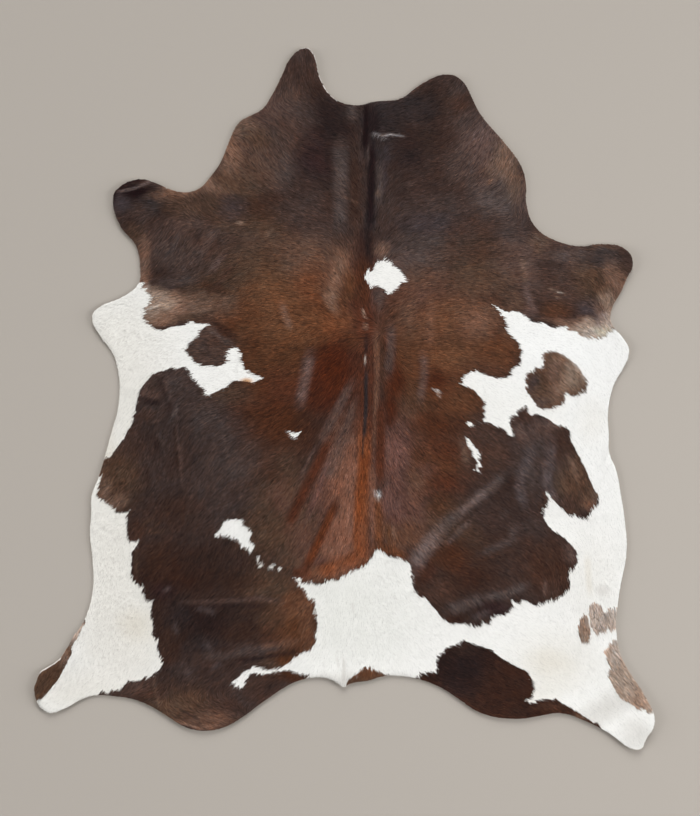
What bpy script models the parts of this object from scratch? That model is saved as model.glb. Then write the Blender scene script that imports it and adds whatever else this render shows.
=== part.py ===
"""Cowhide rug: one tanned hide with its hair on, lying flat on a floor.

The rug is a single sheet of leather and flattened hair with a raw cut edge.
Its underside lies on the floor, at z = 0, except under the folds and where
the edge stands off the floor. +Y points to the neck and +X to the right of
the hide seen from above. The origin lies on the floor under its middle.
"""

import math
from collections import namedtuple

import bpy
import numpy as np
from mathutils import Vector
from mathutils.geometry import delaunay_2d_cdt, interpolate_bezier

MM = 0.001

# Driving dimensions, in metres.
HIDE_LENGTH = 2.102        # neck flap to the end of the right hind shank
HIDE_WIDTH = 1.858         # across both hind shanks
THICKNESS = 0.004          # leather with its hair pressed flat
EDGE_LIFT_REACH = 0.085    # how far inside the edge a lifted edge comes down to the floor

# Fineness of the sheet.
EDGE_STEP = 0.022          # longest step along the cut edge
EDGE_TURN = math.radians(13)   # most that the edge turns in one step
EDGE_ROWS = (0.026, 0.055)     # rows of points inside the edge, by their distance from it
GRID_PITCH = 0.050         # spacing of the points on level parts
NARROW_FOLD_ROWS = (-1.0, -0.5, 0.0, 0.5, 1.0)   # points across a fold, in half widths
BROAD_FOLD_ROWS = (-1.0, -0.66, -0.33, 0.0, 0.33, 0.66, 1.0)
BROAD_FOLD = 0.034         # half width from which a fold counts as broad
FOLD_STEP = 0.95           # spacing of the points along a fold, in half widths
EDGE_CLEARANCE = 0.011     # inner points keep this far from the cut edge
POINT_CLEARANCE = 0.013    # and this far from each other
GRID_CLEARANCE = 0.030     # and the level grid this far from the folds and the edge rows
ROW_FIT = 0.9              # share of its inset that an edge row keeps where the edge bends in
CREST_SAMPLE = 0.005       # spacing at which a fold's crest line is measured
TRIAL_POINTS = 17          # points that try out how a stretch of the edge turns
WELD = 1e-7                # points closer than this are one
INSIDE_ONLY = 1            # the triangulation keeps only the faces inside the edge

# Name and finish.
RUG_NAME = "cowhide_rug"
HIDE_NAME = "hide"
HAIR_BROWN = (0.060, 0.030, 0.020, 1.0)
HAIR_ROUGHNESS = 0.55

# The cut edge, anticlockwise from the neck flap, one table for each stretch.
# A row is a landmark: x and y from the middle of the hide and the height of
# the edge above the floor, in mm. The edge runs through them as one curve.
Landmark = namedtuple("Landmark", "x y lift")

LEFT_NECK = (
    Landmark(-117, 1051, 6),
    Landmark(-162, 1018, 5),
    Landmark(-186, 968, 3),
    Landmark(-222, 899, 2),
    Landmark(-243, 869, 2),
    Landmark(-282, 847, 3),
    Landmark(-312, 830, 3),
    Landmark(-348, 761, 2),
    Landmark(-366, 716, 1),
    Landmark(-393, 674, 1),
    Landmark(-447, 623, 2),
    Landmark(-516, 625, 4),
)
LEFT_FORE_SHANK = (
    Landmark(-558, 644, 6),
    Landmark(-612, 657, 8),
    Landmark(-678, 629, 9),
    Landmark(-691, 605, 9),
    Landmark(-669, 515, 6),
    Landmark(-624, 460, 4),
    Landmark(-611, 392, 2),
    Landmark(-614, 348, 2),
    Landmark(-661, 306, 4),
    Landmark(-736, 272, 7),
    Landmark(-754, 247, 8),
    Landmark(-726, 182, 5),
)
LEFT_FLANK = (
    Landmark(-698, 145, 3),
    Landmark(-681, 104, 2),
    Landmark(-674, -4, 1),
    Landmark(-702, -118, 2),
    Landmark(-733, -229, 4),
    Landmark(-757, -295, 5),
    Landmark(-757, -331, 5),
    Landmark(-761, -411, 4),
    Landmark(-754, -477, 2),
    Landmark(-753, -574, 1),
    Landmark(-780, -668, 2),
)
LEFT_HIND_SHANK = (
    Landmark(-807, -707, 3),
    Landmark(-853, -780, 5),
    Landmark(-887, -803, 7),
    Landmark(-910, -818, 9),
    Landmark(-920, -844, 10),
    Landmark(-928, -871, 10),
    Landmark(-889, -938, 9),
    Landmark(-845, -931, 8),
    Landmark(-780, -897, 6),
    Landmark(-738, -887, 5),
    Landmark(-695, -890, 5),
    Landmark(-634, -899, 6),
)
LEFT_BUTTOCK = (
    Landmark(-583, -918, 8),
    Landmark(-521, -955, 9),
    Landmark(-472, -984, 10),
    Landmark(-417, -994, 10),
    Landmark(-360, -984, 9),
    Landmark(-313, -959, 7),
    Landmark(-244, -909, 5),
    Landmark(-187, -870, 5),
    Landmark(-133, -843, 6),
)
TAIL = (
    Landmark(-57, -835, 8),
    Landmark(-25, -847, 9),
    Landmark(1, -863, 10),
    Landmark(15, -854, 9),
    Landmark(83, -842, 7),
    Landmark(102, -834, 7),
    Landmark(180, -831, 6),
)
RIGHT_BUTTOCK = (
    Landmark(283, -861, 5),
    Landmark(341, -897, 6),
    Landmark(411, -941, 8),
    Landmark(525, -958, 10),
    Landmark(588, -949, 9),
    Landmark(648, -941, 7),
    Landmark(737, -971, 7),
    Landmark(791, -999, 9),
)
RIGHT_HIND_SHANK = (
    Landmark(876, -1050, 13),
    Landmark(894, -1043, 14),
    Landmark(900, -1026, 14),
    Landmark(930, -967, 13),
    Landmark(903, -893, 8),
    Landmark(864, -832, 5),
    Landmark(833, -778, 4),
    Landmark(816, -700, 4),
    Landmark(818, -637, 5),
)
RIGHT_FLANK = (
    Landmark(826, -574, 5),
    Landmark(847, -455, 4),
    Landmark(841, -364, 3),
    Landmark(830, -292, 4),
    Landmark(812, -203, 5),
    Landmark(796, -169, 5),
    Landmark(793, -94, 4),
    Landmark(790, -58, 3),
    Landmark(811, 49, 3),
    Landmark(832, 83, 4),
    Landmark(854, 143, 7),
    Landmark(844, 170, 8),
    Landmark(802, 224, 5),
    Landmark(799, 257, 4),
)
RIGHT_FORE_SHANK = (
    Landmark(831, 323, 6),
    Landmark(849, 364, 8),
    Landmark(865, 398, 9),
    Landmark(849, 443, 9),
    Landmark(759, 463, 6),
    Landmark(717, 456, 5),
    Landmark(636, 473, 4),
    Landmark(571, 518, 3),
    Landmark(546, 590, 2),
    Landmark(546, 638, 2),
    Landmark(534, 691, 3),
)
RIGHT_NECK = (
    Landmark(483, 764, 3),
    Landmark(408, 854, 3),
    Landmark(376, 917, 4),
    Landmark(360, 946, 5),
    Landmark(318, 971, 6),
    Landmark(228, 940, 4),
    Landmark(168, 898, 2),
    Landmark(99, 891, 1),
    Landmark(30, 879, 1),
    Landmark(-30, 899, 2),
    Landmark(-70, 956, 4),
    Landmark(-100, 1044, 6),
)
CUT_EDGE = (LEFT_NECK + LEFT_FORE_SHANK + LEFT_FLANK + LEFT_HIND_SHANK
            + LEFT_BUTTOCK + TAIL + RIGHT_BUTTOCK + RIGHT_HIND_SHANK
            + RIGHT_FLANK + RIGHT_FORE_SHANK + RIGHT_NECK)

# The folds, a row for each: its crest height and half width, and the x and y
# that its crest line runs through, all in mm. Between two folds lies a trough.
Fold = namedtuple("Fold", "name height half_width crest")

FOLDS = (
    Fold("spine, left bank", 8, 54, ((-8, 1080), (-15, 700), (-18, 476), (-36, 200))),
    Fold("spine, right bank", 6, 60, ((146, 1040), (157, 656), (168, 360))),
    Fold("loin, broad fold", 9, 80, ((70, 100), (-15, -214), (-122, -560))),
    Fold("loin, left fold", 6, 38, ((-46, -34), (-136, -304), (-218, -504))),
    Fold("rump, spine ridge", 4, 32, ((58, -60), (56, -300), (62, -500))),
    Fold("rump, right swell", 5, 66, ((144, -30), (184, -280), (208, -490))),
    Fold("right flank, long fold", 8, 42, ((534, -165), (378, -319), (258, -454), (198, -584))),
    Fold("right flank, short fold", 4, 27, ((424, -338), (340, -420), (276, -514))),
    Fold("right flank, inner wave", 4, 27, ((380, -476), (460, -441), (545, -421))),
    Fold("right flank, upper fold", 6, 32, ((590, -98), (526, -246), (545, -368))),
    Fold("right flank, outer fold", 6, 31, ((630, -75), (609, -238), (645, -362))),
    Fold("right haunch, long wave", 7, 38, ((262, -666), (402, -604), (483, -586), (606, -530))),
    Fold("right haunch, short wave", 4, 26, ((362, -690), (415, -652), (474, -604))),
    Fold("right shoulder fold", 7, 38, ((506, 470), (549, 311), (598, 176))),
    Fold("left shank, outer wrinkle", 5, 26, ((-564, 380), (-506, 455), (-442, 514))),
    Fold("left shank, middle wrinkle", 6, 28, ((-506, 336), (-440, 422), (-376, 502))),
    Fold("left shank, inner wrinkle", 5, 28, ((-444, 316), (-378, 392), (-314, 472))),
    Fold("left flank, inner crease", 5, 25, ((-503, 36), (-490, -154), (-478, -326))),
    Fold("left flank, outer crease", 4, 25, ((-536, -6), (-560, -154), (-534, -290))),
    Fold("left haunch, upper wave", 6, 38, ((-590, -620), (-417, -612), (-282, -604), (-120, -600))),
    Fold("left haunch, lower wave", 6, 40, ((-500, -790), (-320, -762), (-160, -736))),
    Fold("left buttock crease", 5, 22, ((-576, -790), (-558, -886), (-534, -990))),
    Fold("left buttock wave", 4, 23, ((-530, -925), (-462, -955), (-392, -976))),
    Fold("ribs, left long streak", 4, 28, ((-97, 174), (-118, 70), (-137, -46))),
    Fold("ribs, left short streak", 3, 24, ((-191, 322), (-176, 254), (-161, 184))),
    Fold("ribs, right streak", 3, 28, ((249, 148), (241, 57), (233, -36))),
    Fold("right shoulder streak", 3, 30, ((339, 336), (331, 240), (323, 144))),
)


def smooth_curve(points, closed):
    """Run one Bezier curve through the points and return its segments."""
    data = bpy.data.curves.new("route", "CURVE")
    data.dimensions = "3D"
    spline = data.splines.new("BEZIER")
    spline.bezier_points.add(len(points) - 1)
    spline.use_cyclic_u = closed
    for knot, (x, y) in zip(spline.bezier_points, points):
        knot.co = (x, y, 0.0)
    for knot in spline.bezier_points:
        knot.handle_left_type = "AUTO"
        knot.handle_right_type = "AUTO"
    knots = [(k.handle_left.copy(), k.co.copy(), k.handle_right.copy())
             for k in spline.bezier_points]
    bpy.data.curves.remove(data)
    ends = knots[1:] + knots[:1] if closed else knots[1:]
    return [(start[1], start[2], end[0], end[1]) for start, end in zip(knots, ends)]


def segment_points(segment, steps):
    """Points along one Bezier segment, from its start up to just before its end."""
    return interpolate_bezier(*segment, steps + 1)[:-1]


def steps_for(segment):
    """Steps that keep a segment within the longest step and the largest turn."""
    trial = interpolate_bezier(*segment, TRIAL_POINTS)
    legs = [b - a for a, b in zip(trial, trial[1:])]
    length = sum(leg.length for leg in legs)
    turn = sum(a.angle(b) for a, b in zip(legs, legs[1:]))
    return max(1, math.ceil(length / EDGE_STEP), math.ceil(turn / EDGE_TURN))


def scaled_landmarks():
    """The landmarks in metres, fitted to the hide's length and width."""
    rows = np.array(CUT_EDGE, dtype=float) * MM
    low, high = rows[:, :2].min(axis=0), rows[:, :2].max(axis=0)
    return rows, np.array((HIDE_WIDTH, HIDE_LENGTH)) / (high - low)


def cut_edge_points(rows):
    """The cut edge as points in order, with the height of the edge at each."""
    segments = smooth_curve(rows[:, :2], closed=True)
    lifts = rows[:, 2]
    edge, heights = [], []
    for index, segment in enumerate(segments):
        steps = steps_for(segment)
        start, end = lifts[index], lifts[(index + 1) % len(lifts)]
        for step, point in enumerate(segment_points(segment, steps)):
            edge.append((point.x, point.y))
            heights.append(start + (end - start) * step / steps)
    return np.array(edge), np.array(heights)


def crest_line(fold, spacing):
    """Points along a fold's crest, about the given distance apart."""
    points = []
    segments = smooth_curve(np.array(fold.crest, dtype=float) * MM, closed=False)
    for segment in segments:
        length = (segment[3] - segment[0]).length
        points += segment_points(segment, max(1, round(length / spacing)))
    points.append(segments[-1][3])
    return np.array([(p.x, p.y) for p in points])


def distances(points, targets):
    """Distance from every point to every target."""
    return np.linalg.norm(points[:, None, :] - targets[None, :, :], axis=2)


def fold_heights(points):
    """Height of the underside that the folds give at each point."""
    total = np.zeros(len(points))
    for fold in FOLDS:
        line = crest_line(fold, CREST_SAMPLE)
        along = np.linspace(0.0, 1.0, len(line))
        gap = distances(points, line)
        nearest = gap.argmin(axis=1)
        across = np.clip(gap.min(axis=1) / (fold.half_width * MM), 0.0, 1.0)
        swell = np.sin(math.pi * along[nearest])
        total += fold.height * MM * swell * (1.0 - across ** 2) ** 2
    return total


def edge_heights(points, edge, lifts):
    """Height of the underside that the lifted edge gives at each point."""
    gap = distances(points, edge)
    fade = np.clip(1.0 - gap / EDGE_LIFT_REACH, 0.0, 1.0) ** 2
    return (fade * lifts[None, :]).max(axis=1)


def left_of(line):
    """Unit vectors that point to the left of a line at each of its points."""
    ahead = np.gradient(line, axis=0)
    ahead /= np.linalg.norm(ahead, axis=1)[:, None]
    return np.column_stack((-ahead[:, 1], ahead[:, 0]))


def fold_rows():
    """Rows of points that follow each fold from foot to foot."""
    rows = []
    for fold in FOLDS:
        half_width = fold.half_width * MM
        line = crest_line(fold, half_width * FOLD_STEP)
        shares = BROAD_FOLD_ROWS if half_width >= BROAD_FOLD else NARROW_FOLD_ROWS
        for share in shares:
            rows.append(line + left_of(line) * half_width * share)
    return np.concatenate(rows)


def edge_rows(edge):
    """Rows of points that follow the cut edge on its inner side."""
    rows = []
    for step, inset in enumerate(EDGE_ROWS, start=1):
        row = (edge + left_of(edge) * inset)[::step]
        rows.append(row[distances(row, edge).min(axis=1) > inset * ROW_FIT])
    return np.concatenate(rows)


def level_grid(edge):
    """Evenly staggered points over the whole hide, for its level parts."""
    low, high = edge.min(axis=0), edge.max(axis=0)
    row_pitch = GRID_PITCH * math.sqrt(3) / 2
    points = []
    for row in range(int((high[1] - low[1]) / row_pitch) + 1):
        shift = GRID_PITCH / 2 * (row % 2)
        xs = np.arange(low[0] + shift, high[0], GRID_PITCH)
        points += [(x, low[1] + row * row_pitch) for x in xs]
    return np.array(points)


def inside(points, edge):
    """Which points lie inside the cut edge, by crossings of a ray along +X."""
    start, end = edge, np.roll(edge, -1, axis=0)
    x, y = points[:, 0][:, None], points[:, 1][:, None]
    spans = (start[:, 1] > y) != (end[:, 1] > y)
    rise = np.where(spans, end[:, 1] - start[:, 1], 1.0)
    crossing = start[:, 0] + (y - start[:, 1]) / rise * (end[:, 0] - start[:, 0])
    return (spans & (x < crossing)).sum(axis=1) % 2 == 1


def inner_points(edge):
    """All points inside the edge: the rows first, and the grid clear of them."""
    rows = np.concatenate((fold_rows(), edge_rows(edge)))
    grid = level_grid(edge)
    grid = grid[distances(grid, rows).min(axis=1) > GRID_CLEARANCE]
    candidates = np.concatenate((rows, grid))
    candidates = candidates[inside(candidates, edge)]
    candidates = candidates[distances(candidates, edge).min(axis=1) > EDGE_CLEARANCE]
    kept = [candidates[0]]
    for point in candidates[1:]:
        if np.linalg.norm(np.array(kept) - point, axis=1).min() > POINT_CLEARANCE:
            kept.append(point)
    return np.array(kept)


def hide_material():
    """Short brown hair."""
    material = bpy.data.materials.new("brown_hair")
    material.use_nodes = True
    shader = material.node_tree.nodes["Principled BSDF"]
    shader.inputs["Base Color"].default_value = HAIR_BROWN
    shader.inputs["Roughness"].default_value = HAIR_ROUGHNESS
    shader.inputs["Metallic"].default_value = 0.0
    return material


def hide_mesh():
    """The underside of the hide as an open sheet of triangles."""
    rows, stretch = scaled_landmarks()
    edge, lifts = cut_edge_points(rows)
    flat = np.concatenate((edge, inner_points(edge)))
    count = len(edge)
    loop = [(i, (i + 1) % count) for i in range(count)]
    flat_vectors = [Vector(point) for point in flat]
    verts, _, faces, _, _, _ = delaunay_2d_cdt(flat_vectors, loop, [], INSIDE_ONLY, WELD)

    plan = np.array(verts)
    height = np.maximum(fold_heights(plan), edge_heights(plan, edge, lifts))
    plan *= stretch
    plan -= (plan.min(axis=0) + plan.max(axis=0)) / 2
    mesh = bpy.data.meshes.new(HIDE_NAME)
    mesh.from_pydata(np.column_stack((plan, height)).tolist(), [], faces)
    mesh.update()
    return mesh


def make_hide(collection):
    """The hide: its underside, given its thickness upwards."""
    mesh = hide_mesh()
    mesh.materials.append(hide_material())
    mesh.shade_smooth()
    hide = bpy.data.objects.new(HIDE_NAME, mesh)
    collection.objects.link(hide)
    wall = hide.modifiers.new("thickness", "SOLIDIFY")
    wall.thickness = THICKNESS
    wall.offset = 1.0
    return hide


def main():
    for old in list(bpy.data.objects):
        bpy.data.objects.remove(old, do_unlink=True)
    collection = bpy.data.collections.new(RUG_NAME)
    bpy.context.scene.collection.children.link(collection)
    make_hide(collection)


main()
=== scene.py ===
import math

import bmesh
import bpy
import numpy as np
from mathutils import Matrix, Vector
from mathutils.bvhtree import BVHTree
from mathutils.kdtree import KDTree


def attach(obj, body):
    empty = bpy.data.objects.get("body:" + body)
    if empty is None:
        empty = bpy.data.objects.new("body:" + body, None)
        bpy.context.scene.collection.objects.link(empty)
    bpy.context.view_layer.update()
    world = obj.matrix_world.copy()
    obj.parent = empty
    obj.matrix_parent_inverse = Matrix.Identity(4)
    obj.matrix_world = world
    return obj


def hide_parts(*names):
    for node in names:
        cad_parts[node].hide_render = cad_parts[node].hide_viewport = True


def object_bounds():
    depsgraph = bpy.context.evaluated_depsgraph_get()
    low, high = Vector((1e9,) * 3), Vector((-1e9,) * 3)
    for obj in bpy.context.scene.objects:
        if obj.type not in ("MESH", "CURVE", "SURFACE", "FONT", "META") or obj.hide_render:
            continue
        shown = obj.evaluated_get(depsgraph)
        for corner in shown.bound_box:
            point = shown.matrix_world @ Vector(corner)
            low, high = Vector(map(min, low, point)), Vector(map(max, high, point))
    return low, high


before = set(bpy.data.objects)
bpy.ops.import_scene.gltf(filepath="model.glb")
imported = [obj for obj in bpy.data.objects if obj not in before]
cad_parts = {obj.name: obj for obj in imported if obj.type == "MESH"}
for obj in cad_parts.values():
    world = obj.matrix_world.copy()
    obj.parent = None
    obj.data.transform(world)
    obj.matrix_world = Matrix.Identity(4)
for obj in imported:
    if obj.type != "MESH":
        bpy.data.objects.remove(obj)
cadBox = [list(corner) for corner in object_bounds()]
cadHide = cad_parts["hide"]
print("frame loaded, hide box", cadBox)

# Every place on the hide is charted in steps of 3 mm, x to the right and y down from the
# chart's top left corner. The hide's middle lies on the step below.
chart = {
    "step": 0.003,
    "middle": (344.33, 398.58),
}


def onHide(places):
    places = np.array(places, float)
    return (places - chart["middle"]) * (chart["step"], -chart["step"])


def onChart(points):
    return points / (chart["step"], -chart["step"]) + chart["middle"]


def rounded(places, steps=3):
    # a closed outline, with a smooth curve run through its given corners
    start, end = places, np.roll(places, -1, axis=0)
    before, after = np.roll(places, 1, axis=0), np.roll(places, -2, axis=0)
    rows = []
    for step in range(steps):
        t = step / steps
        rows.append(0.5 * (2 * start + (end - before) * t
                           + (2 * before - 5 * start + 4 * end - after) * t ** 2
                           + (3 * start - before - 3 * end + after) * t ** 3))
    return np.stack(rows, axis=1).reshape(-1, 2)


def insideOf(points, outline):
    # which points lie in a closed outline, by the crossings of a ray along +x
    low, high = outline.min(axis=0), outline.max(axis=0)
    found = np.zeros(len(points), bool)
    near = np.flatnonzero(((points >= low) & (points <= high)).all(axis=1))
    start, end = outline, np.roll(outline, -1, axis=0)
    for part in np.array_split(near, max(1, len(near) // 4000)):
        x, y = points[part, 0][:, None], points[part, 1][:, None]
        spans = (start[:, 1] > y) != (end[:, 1] > y)
        rise = np.where(spans, end[:, 1] - start[:, 1], 1.0)
        crossing = start[:, 0] + (y - start[:, 1]) / rise * (end[:, 0] - start[:, 0])
        found[part] = (spans & (x < crossing)).sum(axis=1) % 2 == 1
    return found


def seeded(number):
    return np.random.default_rng(number)


def softNoise(points, size, seed):
    # smooth noise from -1 to 1 over the plane, with lumps about as wide as size
    at = points / size + 400.0
    cell = np.floor(at).astype(int)
    part = at - cell
    part = part * part * (3 - 2 * part)
    table = seeded(seed).uniform(-1, 1, (256, 256))
    x, y = cell[:, 0] % 255, cell[:, 1] % 255
    low = table[x, y] * (1 - part[:, 0]) + table[x + 1, y] * part[:, 0]
    high = table[x, y + 1] * (1 - part[:, 0]) + table[x + 1, y + 1] * part[:, 0]
    return low * (1 - part[:, 1]) + high * part[:, 1]


def combedNoise(points, heading, width, length, seed):
    # the same noise drawn out along the hair
    steps = np.linspace(-0.5, 0.5, 7) * length
    drawn = sum(softNoise(points + heading * step, width, seed) for step in steps)
    return drawn / math.sqrt(len(steps))


def linear(tone):
    # a display colour from 0 to 255 as linear light
    value = np.array(tone, float) / 255
    return np.where(value <= 0.04045, value / 12.92, ((value + 0.055) / 1.055) ** 2.4)


def deselectAll():
    if bpy.context.object and bpy.context.object.mode != "OBJECT":
        bpy.ops.object.mode_set(mode="OBJECT")
    bpy.ops.object.select_all(action="DESELECT")


def makeActive(piece):
    deselectAll()
    piece.select_set(True)
    bpy.context.view_layer.objects.active = piece


# The hide's sheet: leather of even thickness on the CAD hide's own outline and folds.
hideSheet = {
    "pitch": 0.0100,          # size of its small faces
    "leather": 0.0022,        # thickness of the leather
    "smoothing": 7,           # rounds that soften the CAD folds' facets
    "clearance": 0.0002,      # least height over the floor
}

# Fine creases and ridges on it, on the chart: half width and height in mm, a trough if below 0.
fineCreases = [
    ("spine groove", 2.2, -1.6, [(366, 104), (366, 135), (369, 160), (371, 200), (369, 235),
                                 (364, 262), (363, 300), (364, 345), (366, 400), (366, 445)]),
    ("neck channel", 5.0, -1.8, [(376, 138), (377, 180), (376, 232)]),
    ("haunch crease", 3.0, -2.2, [(162, 604), (200, 603), (245, 600), (290, 598)]),
    ("haunch ridge", 3.5, 1.8, [(160, 596), (205, 597), (262, 592), (300, 586)]),
    ("low haunch crease", 3.0, -2.0, [(196, 660), (232, 656), (270, 650), (300, 646)]),
    ("flank line", 2.0, -1.6, [(178, 398), (180, 430), (182, 462), (184, 488)]),
    ("flank line outside", 2.0, 1.5, [(173, 402), (175, 436), (177, 470)]),
    ("outer flank wave", 2.6, -1.6, [(146, 430), (150, 452), (158, 474), (163, 500)]),
    ("outer flank ridge", 2.8, 1.6, [(160, 428), (164, 450), (166, 476)]),
    ("buttock line", 1.6, 1.5, [(154, 678), (157, 692), (161, 709)]),
    ("buttock fold", 2.4, -1.6, [(180, 710), (190, 715), (201, 719)]),
    ("left ham crinkle", 1.8, -1.2, [(142, 520), (152, 526), (163, 524), (172, 528)]),
    ("left ham crinkle two", 1.8, 1.2, [(146, 528), (158, 532), (170, 534)]),
    ("strip crease", 1.4, -1.0, [(97, 525), (103, 528), (108, 533)]),
    ("strip crease two", 1.4, -0.9, [(112, 535), (115, 540), (118, 545)]),
    ("right flank ridge", 2.2, 2.2, [(551, 443), (547, 463), (546, 486), (555, 501)]),
    ("right flank ridge two", 2.4, 2.2, [(530, 452), (521, 470), (518, 486), (524, 506)]),
    ("right flank groove", 2.2, -1.8, [(538, 440), (534, 468), (536, 500)]),
    ("long fold lip", 2.6, 2.4, [(505, 475), (478, 498), (446, 524), (420, 558)]),
    ("long fold groove", 2.4, -2.2, [(502, 486), (474, 512), (446, 538), (426, 566)]),
    ("inner wave lip", 2.0, 1.6, [(478, 548), (496, 543), (515, 539)]),
    ("haunch wave lip", 2.6, 2.0, [(452, 616), (478, 601), (505, 593), (532, 584)]),
    ("haunch wave groove", 2.4, -1.8, [(462, 622), (486, 610), (512, 601)]),
    ("right shank line", 2.2, -1.6, [(524, 262), (525, 285), (531, 308)]),
    ("right shank lip", 2.0, 1.4, [(529, 262), (530, 286), (537, 310)]),
    ("shoulder line", 1.8, -1.2, [(500, 224), (514, 236), (524, 250)]),
    ("neck scar", 1.2, -0.8, [(452, 201), (466, 197), (478, 195)]),
    ("left neck scar", 1.2, 0.8, [(330, 194), (346, 197), (358, 203)]),
    ("left shank pleat", 2.4, -1.6, [(158, 268), (172, 248), (186, 230)]),
    ("left shank pleat two", 2.4, -1.6, [(182, 276), (196, 256), (210, 238)]),
    ("rust pleat", 3.4, -2.0, [(325, 430), (308, 468), (295, 498), (285, 540)]),
    ("rust pleat two", 3.2, -2.0, [(337, 486), (320, 532), (303, 576)]),
]


def copyOfCad(name):
    # the CAD hide's mesh, merged, on an object of its own
    deselectAll()
    piece = bpy.data.objects.new(name, cadHide.data.copy())
    bpy.context.scene.collection.objects.link(piece)
    makeActive(piece)
    bpy.ops.object.mode_set(mode="EDIT")
    bpy.ops.mesh.select_all(action="SELECT")
    bpy.ops.mesh.remove_doubles(threshold=0.00001)
    bpy.ops.object.mode_set(mode="OBJECT")
    return piece


def selectFaces(piece, wanted):
    # selects the faces that wanted says yes to, in edit mode
    makeActive(piece)
    bpy.ops.object.mode_set(mode="EDIT")
    bpy.ops.mesh.select_mode(type="FACE")
    bpy.ops.mesh.select_all(action="DESELECT")
    body = bmesh.from_edit_mesh(piece.data)
    for face in body.faces:
        if wanted(face):
            face.select_set(True)
    bmesh.update_edit_mesh(piece.data)


def cadUnderside():
    piece = copyOfCad("underside_form")
    selectFaces(piece, lambda face: face.normal.z > -0.5)
    bpy.ops.mesh.delete(type="FACE")
    bpy.ops.object.mode_set(mode="OBJECT")
    return piece


def boundaryOf(piece):
    # the outer edge of an open mesh as points in order
    body = bmesh.new()
    body.from_mesh(piece.data)
    edges = {edge for edge in body.edges if edge.is_boundary}
    first = next(iter(sorted(edges, key=lambda edge: edge.index)))
    loop, vert = [first.verts[0].co.copy()], first.verts[1]
    edges.remove(first)
    while edges:
        loop.append(vert.co.copy())
        edge = next((e for e in vert.link_edges if e in edges), None)
        if edge is None:
            break
        edges.remove(edge)
        vert = edge.other_vert(vert)
    body.free()
    return np.array(loop)


def wallOf(piece):
    # an upright wall along the outer edge, to cut the grid with
    makeActive(piece)
    bpy.ops.object.duplicate()
    wall = bpy.context.object
    bpy.ops.object.mode_set(mode="EDIT")
    bpy.ops.mesh.select_mode(type="EDGE")
    bpy.ops.mesh.select_all(action="DESELECT")
    bpy.ops.mesh.select_non_manifold()
    bpy.ops.mesh.select_all(action="INVERT")
    bpy.ops.mesh.delete(type="EDGE")
    bpy.ops.mesh.select_all(action="SELECT")
    bpy.ops.transform.resize(value=(1, 1, 0))
    bpy.ops.transform.translate(value=(0, 0, -0.05))
    bpy.ops.mesh.extrude_region_move(TRANSFORM_OT_translate={"value": (0, 0, 0.1)})
    bpy.ops.object.mode_set(mode="OBJECT")
    return wall


def segmentDistance(points, line):
    # distance to a line of points, and how far along it the nearest place is, from 0 to 1
    best = np.full(len(points), 1e9)
    along = np.zeros(len(points))
    legs = np.linalg.norm(np.diff(line, axis=0), axis=1)
    reached = np.concatenate(([0.0], np.cumsum(legs))) / legs.sum()
    for index, (start, end) in enumerate(zip(line, line[1:])):
        way = end - start
        t = np.clip(((points - start) @ way) / (way @ way), 0, 1)
        gap = np.linalg.norm(points - start - t[:, None] * way, axis=1)
        closer = gap < best
        best[closer] = gap[closer]
        along[closer] = (reached[index] + t * (reached[index + 1] - reached[index]))[closer]
    return best, along


def creaseHeights(points):
    total = np.zeros(len(points))
    places = onChart(points)
    for name, halfWidth, height, line in fineCreases:
        gap, along = segmentDistance(places, np.array(line, float))
        across = np.clip(gap / (halfWidth * 1.6), 0, 1)
        swell = np.sin(math.pi * np.clip(along, 0.02, 0.98)) ** 0.6
        total += height * 0.001 * swell * (1 - across ** 2) ** 2
    return total


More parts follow.
